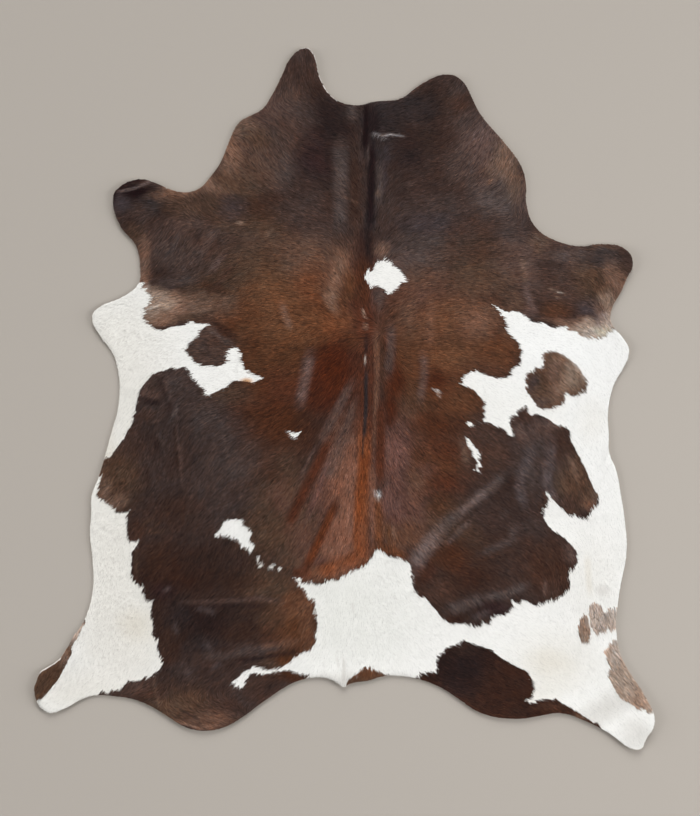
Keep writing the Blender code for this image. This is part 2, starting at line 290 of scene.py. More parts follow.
def makeSheet(underside, outline):
    low, high = np.array(cadBox[0]), np.array(cadBox[1])
    pitch = hideSheet["pitch"]
    across = int((high[0] - low[0]) / pitch) + 2
    up = int((high[1] - low[1]) / pitch) + 2
    wall = wallOf(underside)
    deselectAll()
    bpy.ops.mesh.primitive_grid_add(x_subdivisions=across, y_subdivisions=up, size=1)
    sheet = bpy.context.object
    sheet.name = "hide_leather"
    bpy.ops.transform.resize(value=(across * pitch, up * pitch, 1))
    bpy.ops.object.transform_apply(location=True, rotation=True, scale=True)

    # cut by the wall, and what lies outside it goes
    wall.select_set(True)
    bpy.ops.object.join()
    selectFaces(sheet, lambda face: abs(face.normal.z) < 0.5)
    bpy.ops.mesh.intersect(mode="SELECT_UNSELECT", separate_mode="NONE", solver="EXACT")
    bpy.ops.object.mode_set(mode="OBJECT")
    middles = np.array([face.center[:] for face in sheet.data.polygons])
    upright = np.array([abs(face.normal.z) < 0.5 for face in sheet.data.polygons])
    gone = upright | ~insideOf(middles[:, :2], outline) | (np.abs(middles[:, 2]) > 1e-5)
    marked = iter(gone.tolist())
    selectFaces(sheet, lambda face: next(marked))
    bpy.ops.mesh.delete(type="FACE")
    bpy.ops.mesh.select_all(action="SELECT")
    bpy.ops.mesh.remove_doubles(threshold=0.0006)
    bpy.ops.mesh.delete_loose()
    bpy.ops.mesh.select_all(action="SELECT")
    bpy.ops.mesh.quads_convert_to_tris()
    bpy.ops.object.mode_set(mode="OBJECT")

    # down onto the CAD hide's underside, softened, with the fine creases laid on
    form = BVHTree.FromObject(underside, bpy.context.evaluated_depsgraph_get())
    points = np.array([vert.co[:] for vert in sheet.data.vertices])
    heights = np.zeros(len(points))
    for index, (x, y, _) in enumerate(points):
        hit = form.ray_cast(Vector((x, y, 1.0)), Vector((0, 0, -1)))[0]
        if hit is None:
            hit = form.find_nearest(Vector((x, y, 0.0)))[0]
        heights[index] = hit.z
    edges = np.array([edge.vertices[:] for edge in sheet.data.edges])
    ends = np.concatenate((edges, edges[:, ::-1]))
    count = np.bincount(ends[:, 0], minlength=len(points))
    for _ in range(hideSheet["smoothing"]):
        mean = np.bincount(ends[:, 0], heights[ends[:, 1]], minlength=len(points)) / count
        heights = 0.4 * heights + 0.6 * mean
    heights += creaseHeights(points[:, :2])
    points[:, 2] = np.maximum(heights, hideSheet["clearance"])
    sheet.data.vertices.foreach_set("co", points.astype(np.float32).ravel())
    sheet.data.update()

    wallThickness = sheet.modifiers.new("leather", "SOLIDIFY")
    wallThickness.thickness = hideSheet["leather"]
    wallThickness.offset = 1.0
    makeActive(sheet)
    bpy.ops.object.modifier_apply(modifier=wallThickness.name)
    bpy.ops.object.shade_smooth()
    return sheet


underside = cadUnderside()
edgeLoop = boundaryOf(underside)
cutEdge = edgeLoop[:, :2]
sheet = makeSheet(underside, cutEdge)
bpy.data.objects.remove(underside)
print("sheet made,", len(sheet.data.polygons), "faces")


# The coat's patches on the chart, each laid over the ones before it. Where a patch ends at the
# hide's own cut edge, its outline runs past it.
coatPatches = [
    ("white", "left shoulder", [
        (139.2, 282.6), (141.5, 286.4), (146.7, 292.8), (149.9, 296.7), (148, 304.4),
        (144.1, 308.2), (144.1, 313.3), (142.2, 316.5), (144.1, 321), (150.5, 326.8),
        (156.9, 329.4), (162, 330.6), (167.2, 328), (176.2, 326.4), (182.6, 325.5),
        (189, 321.3), (195.4, 323.6), (207.6, 324.3), (200.5, 330), (198, 336.4),
        (191.5, 341.5), (184.5, 349.9), (189, 356.9), (196, 363.3), (201.2, 366.5),
        (209.5, 365.3), (217.2, 366.9), (223.6, 363.3), (226, 356.9), (226, 350.5),
        (237.7, 347.9), (239.5, 355.6), (240.5, 363.5), (247, 371.8), (255, 375.5),
        (262, 378.3), (256.9, 380.6), (250.5, 382.6), (235.1, 380.6), (224.9, 387.7),
        (214.6, 392.2), (206.5, 396.5), (203.5, 391), (199, 386), (190.5, 379),
        (188.5, 373), (184.5, 367.8), (177.4, 368.8), (171, 368.6), (162, 371.6),
        (151.8, 374.9), (146.7, 381.3), (140.9, 389), (138.3, 396.7), (136.5, 400),
        (134.4, 412.8), (132.4, 421.8), (128, 430.8), (124, 438.5), (117.7, 446.8),
        (112.6, 453.8), (108.4, 459), (104.2, 459), (70, 459), (60, 380), (70, 282)]),
    ("white", "left strip", [
        (101, 477), (98.5, 484.6), (97.2, 494.9), (99.7, 499.4), (104.9, 502.6),
        (111.3, 507.7), (116.4, 511.5), (120.9, 513.8), (129.2, 510.9), (126, 515.4),
        (126.7, 523), (125.6, 532), (128, 538.5), (131.8, 542), (138.5, 541),
        (135.6, 547.4), (131.8, 553.8), (131.8, 561.5), (130.4, 570.5), (132.4, 581.2),
        (137, 584), (139.5, 587), (144, 588.3), (141.8, 590.8), (143, 597.2),
        (146.3, 601), (150.8, 600.8), (152.2, 604.4), (150.8, 613.8), (152, 621.5),
        (153.2, 628), (152.4, 635.6), (154.6, 640.4), (157.9, 642.5), (156.2, 647.2),
        (158.5, 654), (161.2, 659.8), (162.2, 663), (161.7, 667.7), (155.9, 672.8),
        (150.8, 677.3), (143, 679.9), (135.4, 681.2), (129, 681.2), (125, 685),
        (121.3, 689.5), (114.9, 692), (107.2, 693.3), (98.2, 694.9), (98, 725),
        (20, 725), (20, 640), (60, 590), (75, 540), (75, 477)]),
    ("white", "comma", [
        (212.6, 536.2), (219.6, 530.5), (221, 523.5), (226.7, 520.8), (234.4, 521.2),
        (241.5, 520.3), (243.5, 525.5), (249, 531), (250.5, 535), (249.2, 540.5),
        (253, 544.5), (253, 549.8), (250.4, 553.8), (247.2, 551.3), (242, 547.4),
        (237, 539.8), (226.7, 538), (220, 537.2)]),
    ("white", "first fleck", [
        (254.6, 557.8), (258, 557.8), (258.8, 561), (256.2, 562)]),
    ("white", "second fleck", [
        (257, 562.4), (260.4, 562.6), (263.4, 565.6), (261.2, 567.4), (258, 566)]),
    ("white", "third fleck", [
        (267.6, 567.4), (270.4, 565.2), (274.4, 567), (272.6, 569.2), (268.8, 569.8)]),
    ("white", "fourth fleck", [
        (276.8, 569), (280.6, 567.2), (281, 569.8), (278, 570.6)]),
    ("white", "rib spot", [
        (285.5, 431.6), (291, 432.4), (300.5, 432.4), (298, 436), (294.4, 440), (290, 436.5)]),
    ("white", "spine spot", [
        (366, 280), (364.4, 275.5), (369, 268.6), (371.2, 272.5), (374, 267),
        (376.4, 261.6), (380.6, 260.6), (384.6, 257.6), (389, 260.4), (396, 265.4),
        (401, 270.6), (407.5, 279.6), (404, 283.4), (399, 287.4), (394, 293),
        (387.6, 294.6), (385, 289.6), (379, 286.6), (375, 285.4), (371, 285.8)]),
    ("white", "flank streak", [
        (465.5, 437), (470, 439.5), (473, 443), (476, 447.4), (480, 451.8), (481.6, 455),
        (480.8, 458), (480.8, 463), (482, 469), (479.4, 472), (477.5, 473), (475.8, 470),
        (477.6, 465), (475.6, 460), (472.6, 455), (471, 450), (468, 444)]),
    ("white", "rump and right side", [
        (290.3, 579.5), (295.9, 578.8), (301, 580), (303, 583), (308.7, 583.6),
        (314.5, 583.9), (322, 583), (331.8, 581.2), (335.6, 581.4), (340.8, 578),
        (349.7, 572.6), (360.6, 568), (370.6, 560.6), (377.3, 549.6), (388.2, 555.9),
        (408.8, 562.6), (413, 575), (412.8, 580), (416, 591.5), (421.2, 597.3),
        (425.6, 598.6), (432.7, 605.6), (438.5, 614), (445.6, 620.9), (453.4, 624.9),
        (458.3, 622.3), (468.2, 625.8), (480.9, 626.5), (483.7, 622.3), (489.4, 624.9),
        (492.9, 616.7), (502, 615.3), (507.7, 613.1), (513.3, 607.5), (512.6, 601.9),
        (519, 602.6), (526, 601.2), (533.1, 604.7), (540.1, 605.4), (547.2, 601.9),
        (557, 599.7), (566.2, 593.4), (570.3, 585.2), (568.6, 579.7), (569.9, 570.8),
        (574.4, 570), (577, 563), (577.6, 555.4), (575, 549), (569.2, 543),
        (564.1, 538.2), (557.7, 535), (552.6, 530.5), (548, 525.4), (544.9, 519),
        (543.5, 512.6), (546, 508.7), (549.3, 501), (547.5, 496.4), (546.2, 490),
        (551.3, 497.2), (556.4, 503.6), (561.5, 508.7), (566.7, 513.2), (570.5, 517),
        (574.4, 515.8), (579.5, 518.2), (586, 519.8), (589.6, 516.4), (592.2, 510),
        (596, 505.4), (599, 501.7), (598, 494.6), (594.9, 490.8), (591, 483),
        (587.2, 472.8), (582, 462.6), (577, 452.3), (572.4, 443.3), (569.9, 433.7),
        (568, 428), (561.5, 427.3), (556.4, 425.4), (550, 420.3), (543.6, 417),
        (537.2, 414.5), (530.8, 416.4), (527.6, 410), (526.3, 404.9), (523.5, 408.8),
        (520, 411), (516.3, 416), (512.8, 420), (510.5, 424), (512.8, 431.8),
        (514.7, 438.2), (509.6, 435.6), (505.1, 429.9), (499, 428), (489, 423),
        (480, 421.8), (474.5, 422.6), (471.3, 427.6), (469, 426), (466, 423.4),
        (475, 422.2), (483, 421.6), (485, 412.7), (485.4, 404.2), (475, 391.4),
        (462.6, 384.8), (466, 375), (476.5, 371), (483.5, 374),
        (498.4, 379), (507.7, 376.7), (511.5, 374.7), (512.2, 370), (517.4, 367.8),
        (519.4, 362.6), (521.3, 360), (522.5, 354.4), (520, 344.7), (514, 337.7),
        (506.8, 331), (507.2, 323.6), (501.3, 313), (492, 304.2), (500, 308.2),
        (507.7, 312.3), (512.8, 311), (522.4, 313.3), (527.6, 317.8), (534, 322.6),
        (544.2, 322.6), (550, 326.8), (557, 328.5), (566.7, 325.9), (569.9, 331.3),
        (578.2, 331.9), (582.7, 337), (588.5, 338.7), (598.7, 339), (606.4, 337),
        (609, 333.2), (613.5, 331.3), (640, 329), (690, 329), (690, 780), (311.3, 780),
        (311.3, 690), (308.5, 677), (298.5, 674.6), (290.8, 671.7), (281.8, 671.5),
        (272.8, 673.7), (262.6, 674.5), (254.9, 673.8), (248.5, 675.4), (245.9, 679.2),
        (244, 685), (240.5, 689.7), (237, 687), (231.2, 684.4), (230.5, 681.8),
        (237, 678.6), (242, 672.8), (249.7, 669), (252.3, 665.8), (254.9, 665.8),
        (261.3, 669), (270.3, 669.2), (279.2, 669.2), (283, 666.4), (290, 662),
        (293.3, 658), (300.4, 654.2), (309.4, 650.4), (312.6, 647.8), (315.4, 642.2),
        (315, 635.6), (317.4, 626.7), (316.2, 620.3), (313.8, 611.3), (313.8, 602.2),
        (310, 601), (307.4, 597.6), (304, 592.3), (298, 586.5), (296.5, 582.4)]),
    ("brown", "left shank band", [
        (84, 621.5), (80.9, 629.9), (76.4, 639.5), (71.3, 647.2), (72, 652.3), (67.4, 661.3),
        (62.3, 672.8), (55.3, 683), (49.5, 690), (45.6, 695.3), (40.5, 699), (37.3, 700.6),
        (25, 702), (20, 660), (60, 620)]),
    ("brown", "shoulder island", [
        (555.5, 351.8), (561.3, 354.4), (572.3, 361.6), (577.6, 366.4), (582, 372.2),
        (585.9, 378.6),
        (588.2, 383), (587, 388.4), (585.4, 392.2), (579.5, 394.4), (574.4, 397.2),
        (569.9, 396), (566.7, 392), (564.7, 394.6), (564.1, 401), (560.3, 404.9),
        (556.4, 406.4), (554.5, 409.4), (550, 409), (544.9, 410), (539.7, 408),
        (535.3, 403.6), (531.8, 398), (529.3, 394), (526.8, 389.5), (528.8, 387.6),
        (526.6, 382.4), (528.3, 379), (526.6, 375.6), (527.8, 374), (532, 373),
        (535.5, 371), (539.5, 369.7), (543.6, 367.6), (545, 360), (545.4, 354.4)]),
    ("brown", "tail", [
        (346.4, 684.6), (350.6, 678.7), (356.4, 674.9), (361.5, 669.7), (366.7, 667.8),
        (371.8, 669.1), (378.2, 671.7), (384, 675), (391, 677.3), (392, 700), (345, 700)]),
    ("brown", "right buttock", [
        (419, 677.4), (423, 674.4), (428.2, 672.6), (437.2, 672.6), (438, 668),
        (437.6, 663.4), (438.8, 657.4), (443.6, 653.6), (449.6, 647.4), (460, 645.6),
        (461.2, 642), (471, 643.8), (482.3, 647), (489.4, 650), (494.6, 650.8),
        (496.4, 654.8), (507.7, 661.5), (519, 668.2), (527.4, 672), (532.5, 681),
        (535.2, 687.2), (532.5, 697), (527, 702.5), (534.8, 702.8), (541, 700.5),
        (548.7, 700), (557.7, 700), (563.5, 704), (570.5, 708), (579.5, 713.7),
        (587.2, 718.8), (594.9, 723.3), (600, 727), (600, 760), (415, 760), (415, 685)]),
    ("brown", "inner blot", [
        (585.3, 615.6), (588.5, 620), (589.7, 628.5), (590.8, 634.9), (589.1, 640.6),
        (585.9, 643.2), (580.8, 640.6), (578.8, 633.6), (578.5, 625.9), (580.8, 622),
        (582.7, 618)]),
    ("brown", "outer blot", [
        (589, 609.9), (591, 606), (595.5, 604), (600.6, 605.4), (602.6, 609.9),
        (605.8, 614.4), (610.3, 609.9), (616.7, 609.2), (630, 609), (630, 631),
        (616, 631), (611.5, 631.3), (607, 629.7), (605.8, 634.2), (601.3, 633),
        (597.4, 636.2), (594.2, 632.3), (591, 627.2), (589.7, 619.5)]),
    ("brown", "right shank band", [
        (616.7, 641.3), (611.5, 645.8), (607, 649.6), (604.9, 652.2), (607.7, 660.5),
        (610.9, 668.2), (609.6, 677.2), (612.8, 684.9), (618, 693.8), (623, 700.3),
        (629.5, 702.8), (635.9, 708), (640.4, 710.5), (646.2, 709.9), (648.7, 713.7),
        (652, 712.4), (675, 700), (640, 641)]),
]

# Where the hair lies: on the chart, the heading from root to tip in degrees, 0 to the right
# and 90 to the neck.
hairFlow = [
    # neck flaps and neck, left of the spine
    (300, 60, 90), (292, 80, 80), (309, 80, 105), (277, 95, 70), (324, 98, 135),
    (292, 110, 150), (310, 112, 145), (340, 112, 160), (357, 112, 178), (245, 124, 205),
    (262, 127, 150), (285, 130, 135), (260, 143, 118), (277, 146, 128), (310, 143, 165),
    (335, 143, 178), (240, 160, 130), (262, 160, 116), (280, 160, 122), (295, 160, 136),
    (316, 160, 162), (244, 176, 142), (268, 176, 145), (292, 176, 148), (320, 176, 162),
    (228, 188, 130), (210, 196, 128), (250, 192, 158), (285, 192, 152), (320, 192, 162),
    (342, 190, 150), (357, 190, 118), (196, 206, 130), (228, 207, 155), (262, 208, 168),
    (308, 208, 160), (342, 207, 152), (357, 208, 138), (300, 222, 166), (325, 223, 162),
    (342, 224, 138), (357, 224, 114), (245, 224, 186), (275, 224, 182),
    # left fore shank
    (130, 196, 190), (150, 200, 182), (175, 206, 165), (140, 225, 225), (165, 225, 235),
    (180, 240, 240), (155, 262, 235), (212, 240, 222), (200, 262, 225), (150, 285, 205),
    (228, 256, 205),
    # left shoulder and ribs
    (262, 240, 180), (292, 240, 172), (324, 240, 166), (342, 240, 128), (357, 240, 104),
    (275, 262, 182), (308, 258, 174), (342, 262, 122), (357, 262, 105), (180, 287, 184),
    (212, 287, 200), (245, 287, 208), (277, 287, 178), (310, 290, 172), (335, 290, 142),
    (357, 290, 116), (165, 304, 192), (196, 304, 196), (228, 304, 192), (262, 304, 192),
    (300, 312, 176), (335, 312, 150), (357, 318, 140), (165, 318, 196), (196, 322, 188),
    (228, 330, 180), (262, 334, 186), (310, 340, 204), (345, 340, 212), (150, 345, 215),
    (120, 330, 215), (205, 352, 186), (250, 360, 186), (290, 370, 200), (330, 370, 222),
    (352, 372, 250), (110, 380, 240), (125, 420, 236), (180, 385, 215), (165, 400, 230),
    (212, 400, 196), (250, 400, 190), (290, 400, 212), (320, 400, 226), (345, 400, 248),
    (150, 440, 245), (180, 430, 235), (228, 430, 212), (260, 430, 206), (290, 430, 212),
    (315, 430, 232), (340, 430, 246), (116, 462, 234), (140, 470, 245), (196, 462, 238),
    (244, 462, 222), (280, 462, 206), (308, 462, 238), (335, 470, 250), (212, 480, 230),
    (262, 480, 225), (295, 485, 238), (330, 500, 246), (350, 500, 262),
    # left flank and haunch
    (120, 500, 225), (145, 520, 235), (180, 520, 235), (220, 515, 225), (280, 520, 228),
    (308, 525, 238), (340, 540, 252), (165, 557, 224), (200, 557, 240), (235, 560, 245),
    (290, 557, 234), (325, 557, 240), (356, 552, 238), (180, 590, 232), (230, 590, 220),
    (280, 590, 222), (110, 560, 252), (140, 600, 240), (105, 620, 248), (140, 640, 240),
    (170, 630, 240), (212, 630, 236), (244, 622, 222), (280, 622, 228), (300, 640, 240),
    (212, 655, 225), (260, 650, 212), (75, 640, 240), (60, 670, 238), (48, 695, 232),
    (90, 685, 225), (130, 670, 235), (165, 680, 240), (200, 680, 225), (240, 690, 222),
    (150, 695, 205), (180, 706, 332), (205, 716, 338), (225, 708, 345), (280, 680, 215),
    # spine
    (366, 115, 90), (374, 150, 84), (376, 190, 84), (374, 225, 80), (366, 250, 92),
    (366, 300, 100), (366, 330, 180), (366, 360, 265), (366, 400, 268), (366, 450, 270),
    (364, 500, 270), (362, 545, 268),
    # neck, right of the spine
    (385, 110, 14), (410, 108, 14), (386, 133, 356), (405, 136, 354), (430, 130, 14),
    (440, 88, 30), (460, 90, 60), (448, 112, 20), (465, 112, 50), (450, 132, 34),
    (468, 132, 48), (485, 132, 62), (400, 148, 2), (430, 148, 6), (450, 148, 36),
    (467, 148, 46), (484, 150, 62), (502, 152, 72), (392, 168, 55), (405, 166, 12),
    (432, 166, 12), (450, 166, 26), (466, 166, 60), (484, 168, 66), (508, 172, 74),
    (392, 184, 60), (408, 182, 16), (448, 182, 36), (466, 182, 44), (486, 182, 30),
    (512, 190, 78), (405, 196, 6), (435, 196, 12), (468, 196, 14), (496, 198, 22),
    (392, 208, 52), (410, 212, 12), (440, 212, 12), (475, 212, 12), (500, 214, 4),
    (516, 214, 100), (388, 227, 56), (405, 227, 20), (430, 227, 12), (468, 227, 6),
    (505, 228, 356), (392, 243, 40), (415, 243, 20), (450, 243, 2), (490, 243, 8),
    (525, 243, 335), (383, 256, 55), (405, 262, 330), (430, 260, 10), (470, 260, 2),
    (510, 260, 2), (530, 260, 10), (560, 250, 350),
    # right shoulder, fore shank and ribs
    (385, 276, 340), (420, 276, 8), (455, 276, 0), (490, 278, 348), (545, 275, 354),
    (585, 262, 352), (610, 262, 340), (600, 285, 300), (612, 300, 285), (382, 296, 330),
    (400, 300, 30), (430, 292, 8), (468, 292, 0), (498, 292, 338), (545, 292, 356),
    (575, 292, 342), (390, 312, 45), (415, 308, 18), (450, 308, 6), (482, 310, 340),
    (545, 310, 340), (575, 312, 345), (595, 328, 318), (400, 330, 20), (430, 328, 356),
    (465, 326, 2), (492, 330, 345), (560, 335, 335), (385, 350, 290), (415, 350, 2),
    (450, 350, 350), (485, 350, 350), (510, 348, 340), (600, 350, 300), (535, 375, 316),
    (560, 370, 315), (578, 382, 312), (545, 400, 325), (392, 375, 300), (420, 372, 350),
    (450, 372, 345), (500, 368, 340), (600, 400, 300), (470, 395, 320), (384, 400, 280),
    (405, 402, 305), (430, 400, 322), (460, 405, 330), (500, 400, 325),
    # loin, right flank and haunch
    (384, 440, 282), (400, 440, 305), (425, 432, 325), (450, 435, 322), (480, 432, 330),
    (505, 432, 325), (530, 428, 316), (552, 432, 322), (572, 436, 304), (605, 440, 290),
    (384, 470, 284), (405, 470, 308), (430, 466, 325), (455, 466, 326), (480, 470, 322),
    (510, 462, 330), (540, 465, 318), (565, 465, 305), (580, 475, 300), (384, 505, 282),
    (410, 500, 312), (440, 498, 322), (475, 502, 325), (510, 500, 328), (540, 500, 318),
    (572, 500, 296), (605, 520, 284), (384, 535, 278), (410, 535, 312), (445, 535, 322),
    (480, 535, 335), (512, 530, 334), (545, 538, 318), (562, 548, 310), (400, 552, 300),
    (430, 565, 318), (465, 565, 340), (500, 562, 336), (532, 566, 318), (562, 572, 280),
    (420, 585, 320), (455, 590, 325), (490, 588, 325), (525, 588, 318), (552, 590, 288),
    (445, 610, 312), (470, 612, 300), (500, 604, 304), (605, 580, 278), (590, 610, 280),
    # rump, tail and right hind shank
    (345, 590, 262), (312, 610, 235), (380, 590, 280), (345, 625, 266), (325, 650, 250),
    (345, 655, 270), (300, 662, 230), (365, 650, 278), (345, 676, 264), (356, 676, 235),
    (380, 676, 300), (400, 620, 305), (425, 655, 315), (400, 668, 300), (460, 632, 318),
    (510, 623, 322), (450, 655, 330), (480, 655, 335), (510, 668, 325), (470, 680, 345),
    (500, 695, 340), (530, 685, 330), (545, 705, 330), (575, 715, 322), (550, 640, 320),
    (560, 675, 316), (584, 628, 285), (600, 620, 292), (590, 660, 305), (620, 665, 308),
    (628, 690, 312), (600, 700, 318), (640, 715, 310), (635, 735, 305),
]

flowBlend = {
    "near": 90,               # places closer than its root, in steps, share their headings evenly
    "power": 2.2,             # how fast a heading's pull falls off past that
}


def combed(places):
    # unit headings over the hide at each place
    rows = np.array(hairFlow, float)
    turn = np.radians(rows[:, 2])
    heading = np.column_stack((np.cos(turn), np.sin(turn)))
    result = np.empty((len(places), 2))
    for part in np.array_split(np.arange(len(places)), max(1, len(places) // 20000)):
        gap = ((places[part][:, None, :] - rows[None, :, :2]) ** 2).sum(axis=2)
        result[part] = (1 / (gap + flowBlend["near"]) ** flowBlend["power"]) @ heading
    return result / np.maximum(np.linalg.norm(result, axis=1), 1e-9)[:, None]


def patchAt(places):
    patch = np.zeros(len(places), int)
    order = list(patchTones)
    for kind, name, outline in coatPatches:
        inside = insideOf(places, rounded(np.array(outline, float)))
        patch[inside] = -1 if kind == "white" else order.index(name)
    return patch


# The coat's tones by name, as display colours. The greyer tones (steel grey, slate, light slate,
# ash, pale ash, lavender, light lavender, light mauve) stand both for the hair's own grey and for
# painted sheen where the hair catches the light.
coatTones = {
    "white": (239, 238, 234), "cream": (231, 228, 220), "chalk": (233, 233, 227),
    "bright white": (243, 243, 241), "straw": (214, 204, 184), "smudge and crease shade": (206, 202, 196),
    "painted hem shade": (208, 205, 199), "steel grey": (160, 156, 158), "orange": (206, 150, 96),
    "ink": (32, 22, 23), "black brown": (42, 33, 32), "blue black": (48, 42, 42),
    "purple black": (50, 37, 37), "slate black": (55, 50, 50), "dark umber": (52, 40, 36),
    "umber": (60, 47, 43), "warm umber": (61, 44, 37), "grey umber": (65, 54, 51),
    "warm mauve": (70, 52, 45), "slate": (72, 61, 58), "light slate": (80, 69, 66),
    "mauve": (76, 60, 54), "light mauve": (88, 70, 64), "ash": (97, 78, 73),
    "dark fawn": (78, 60, 49), "fawn": (87, 66, 54), "sandy brown": (97, 73, 61),
    "light fawn": (99, 79, 68), "pink fawn": (110, 88, 76), "beige tan": (119, 91, 77),
    "pink tan": (123, 101, 86), "tan": (141, 118, 103), "warm tan": (127, 97, 81),
    "sand": (153, 130, 115), "pale tan": (164, 143, 128), "light tan": (178, 162, 151),
    "dark chestnut": (54, 37, 31), "chestnut": (67, 46, 37), "warm chestnut": (72, 44, 31),
    "oxblood": (72, 38, 26), "burnt orange": (116, 64, 38), "warm copper": (146, 92, 68),
    "brick": (80, 47, 35), "dark russet": (82, 53, 37), "russet": (90, 59, 42),
    "tawny": (99, 67, 48), "copper": (107, 67, 46), "bright copper": (120, 70, 45),
    "beige brown": (110, 79, 64), "dark rose": (94, 66, 57), "amber": (99, 62, 41),
    "ochre": (101, 71, 55), "rose": (105, 75, 68), "copper rose": (126, 87, 71),
    "lavender": (62, 55, 57), "light lavender": (82, 71, 70), "pale ash": (112, 96, 92),
}

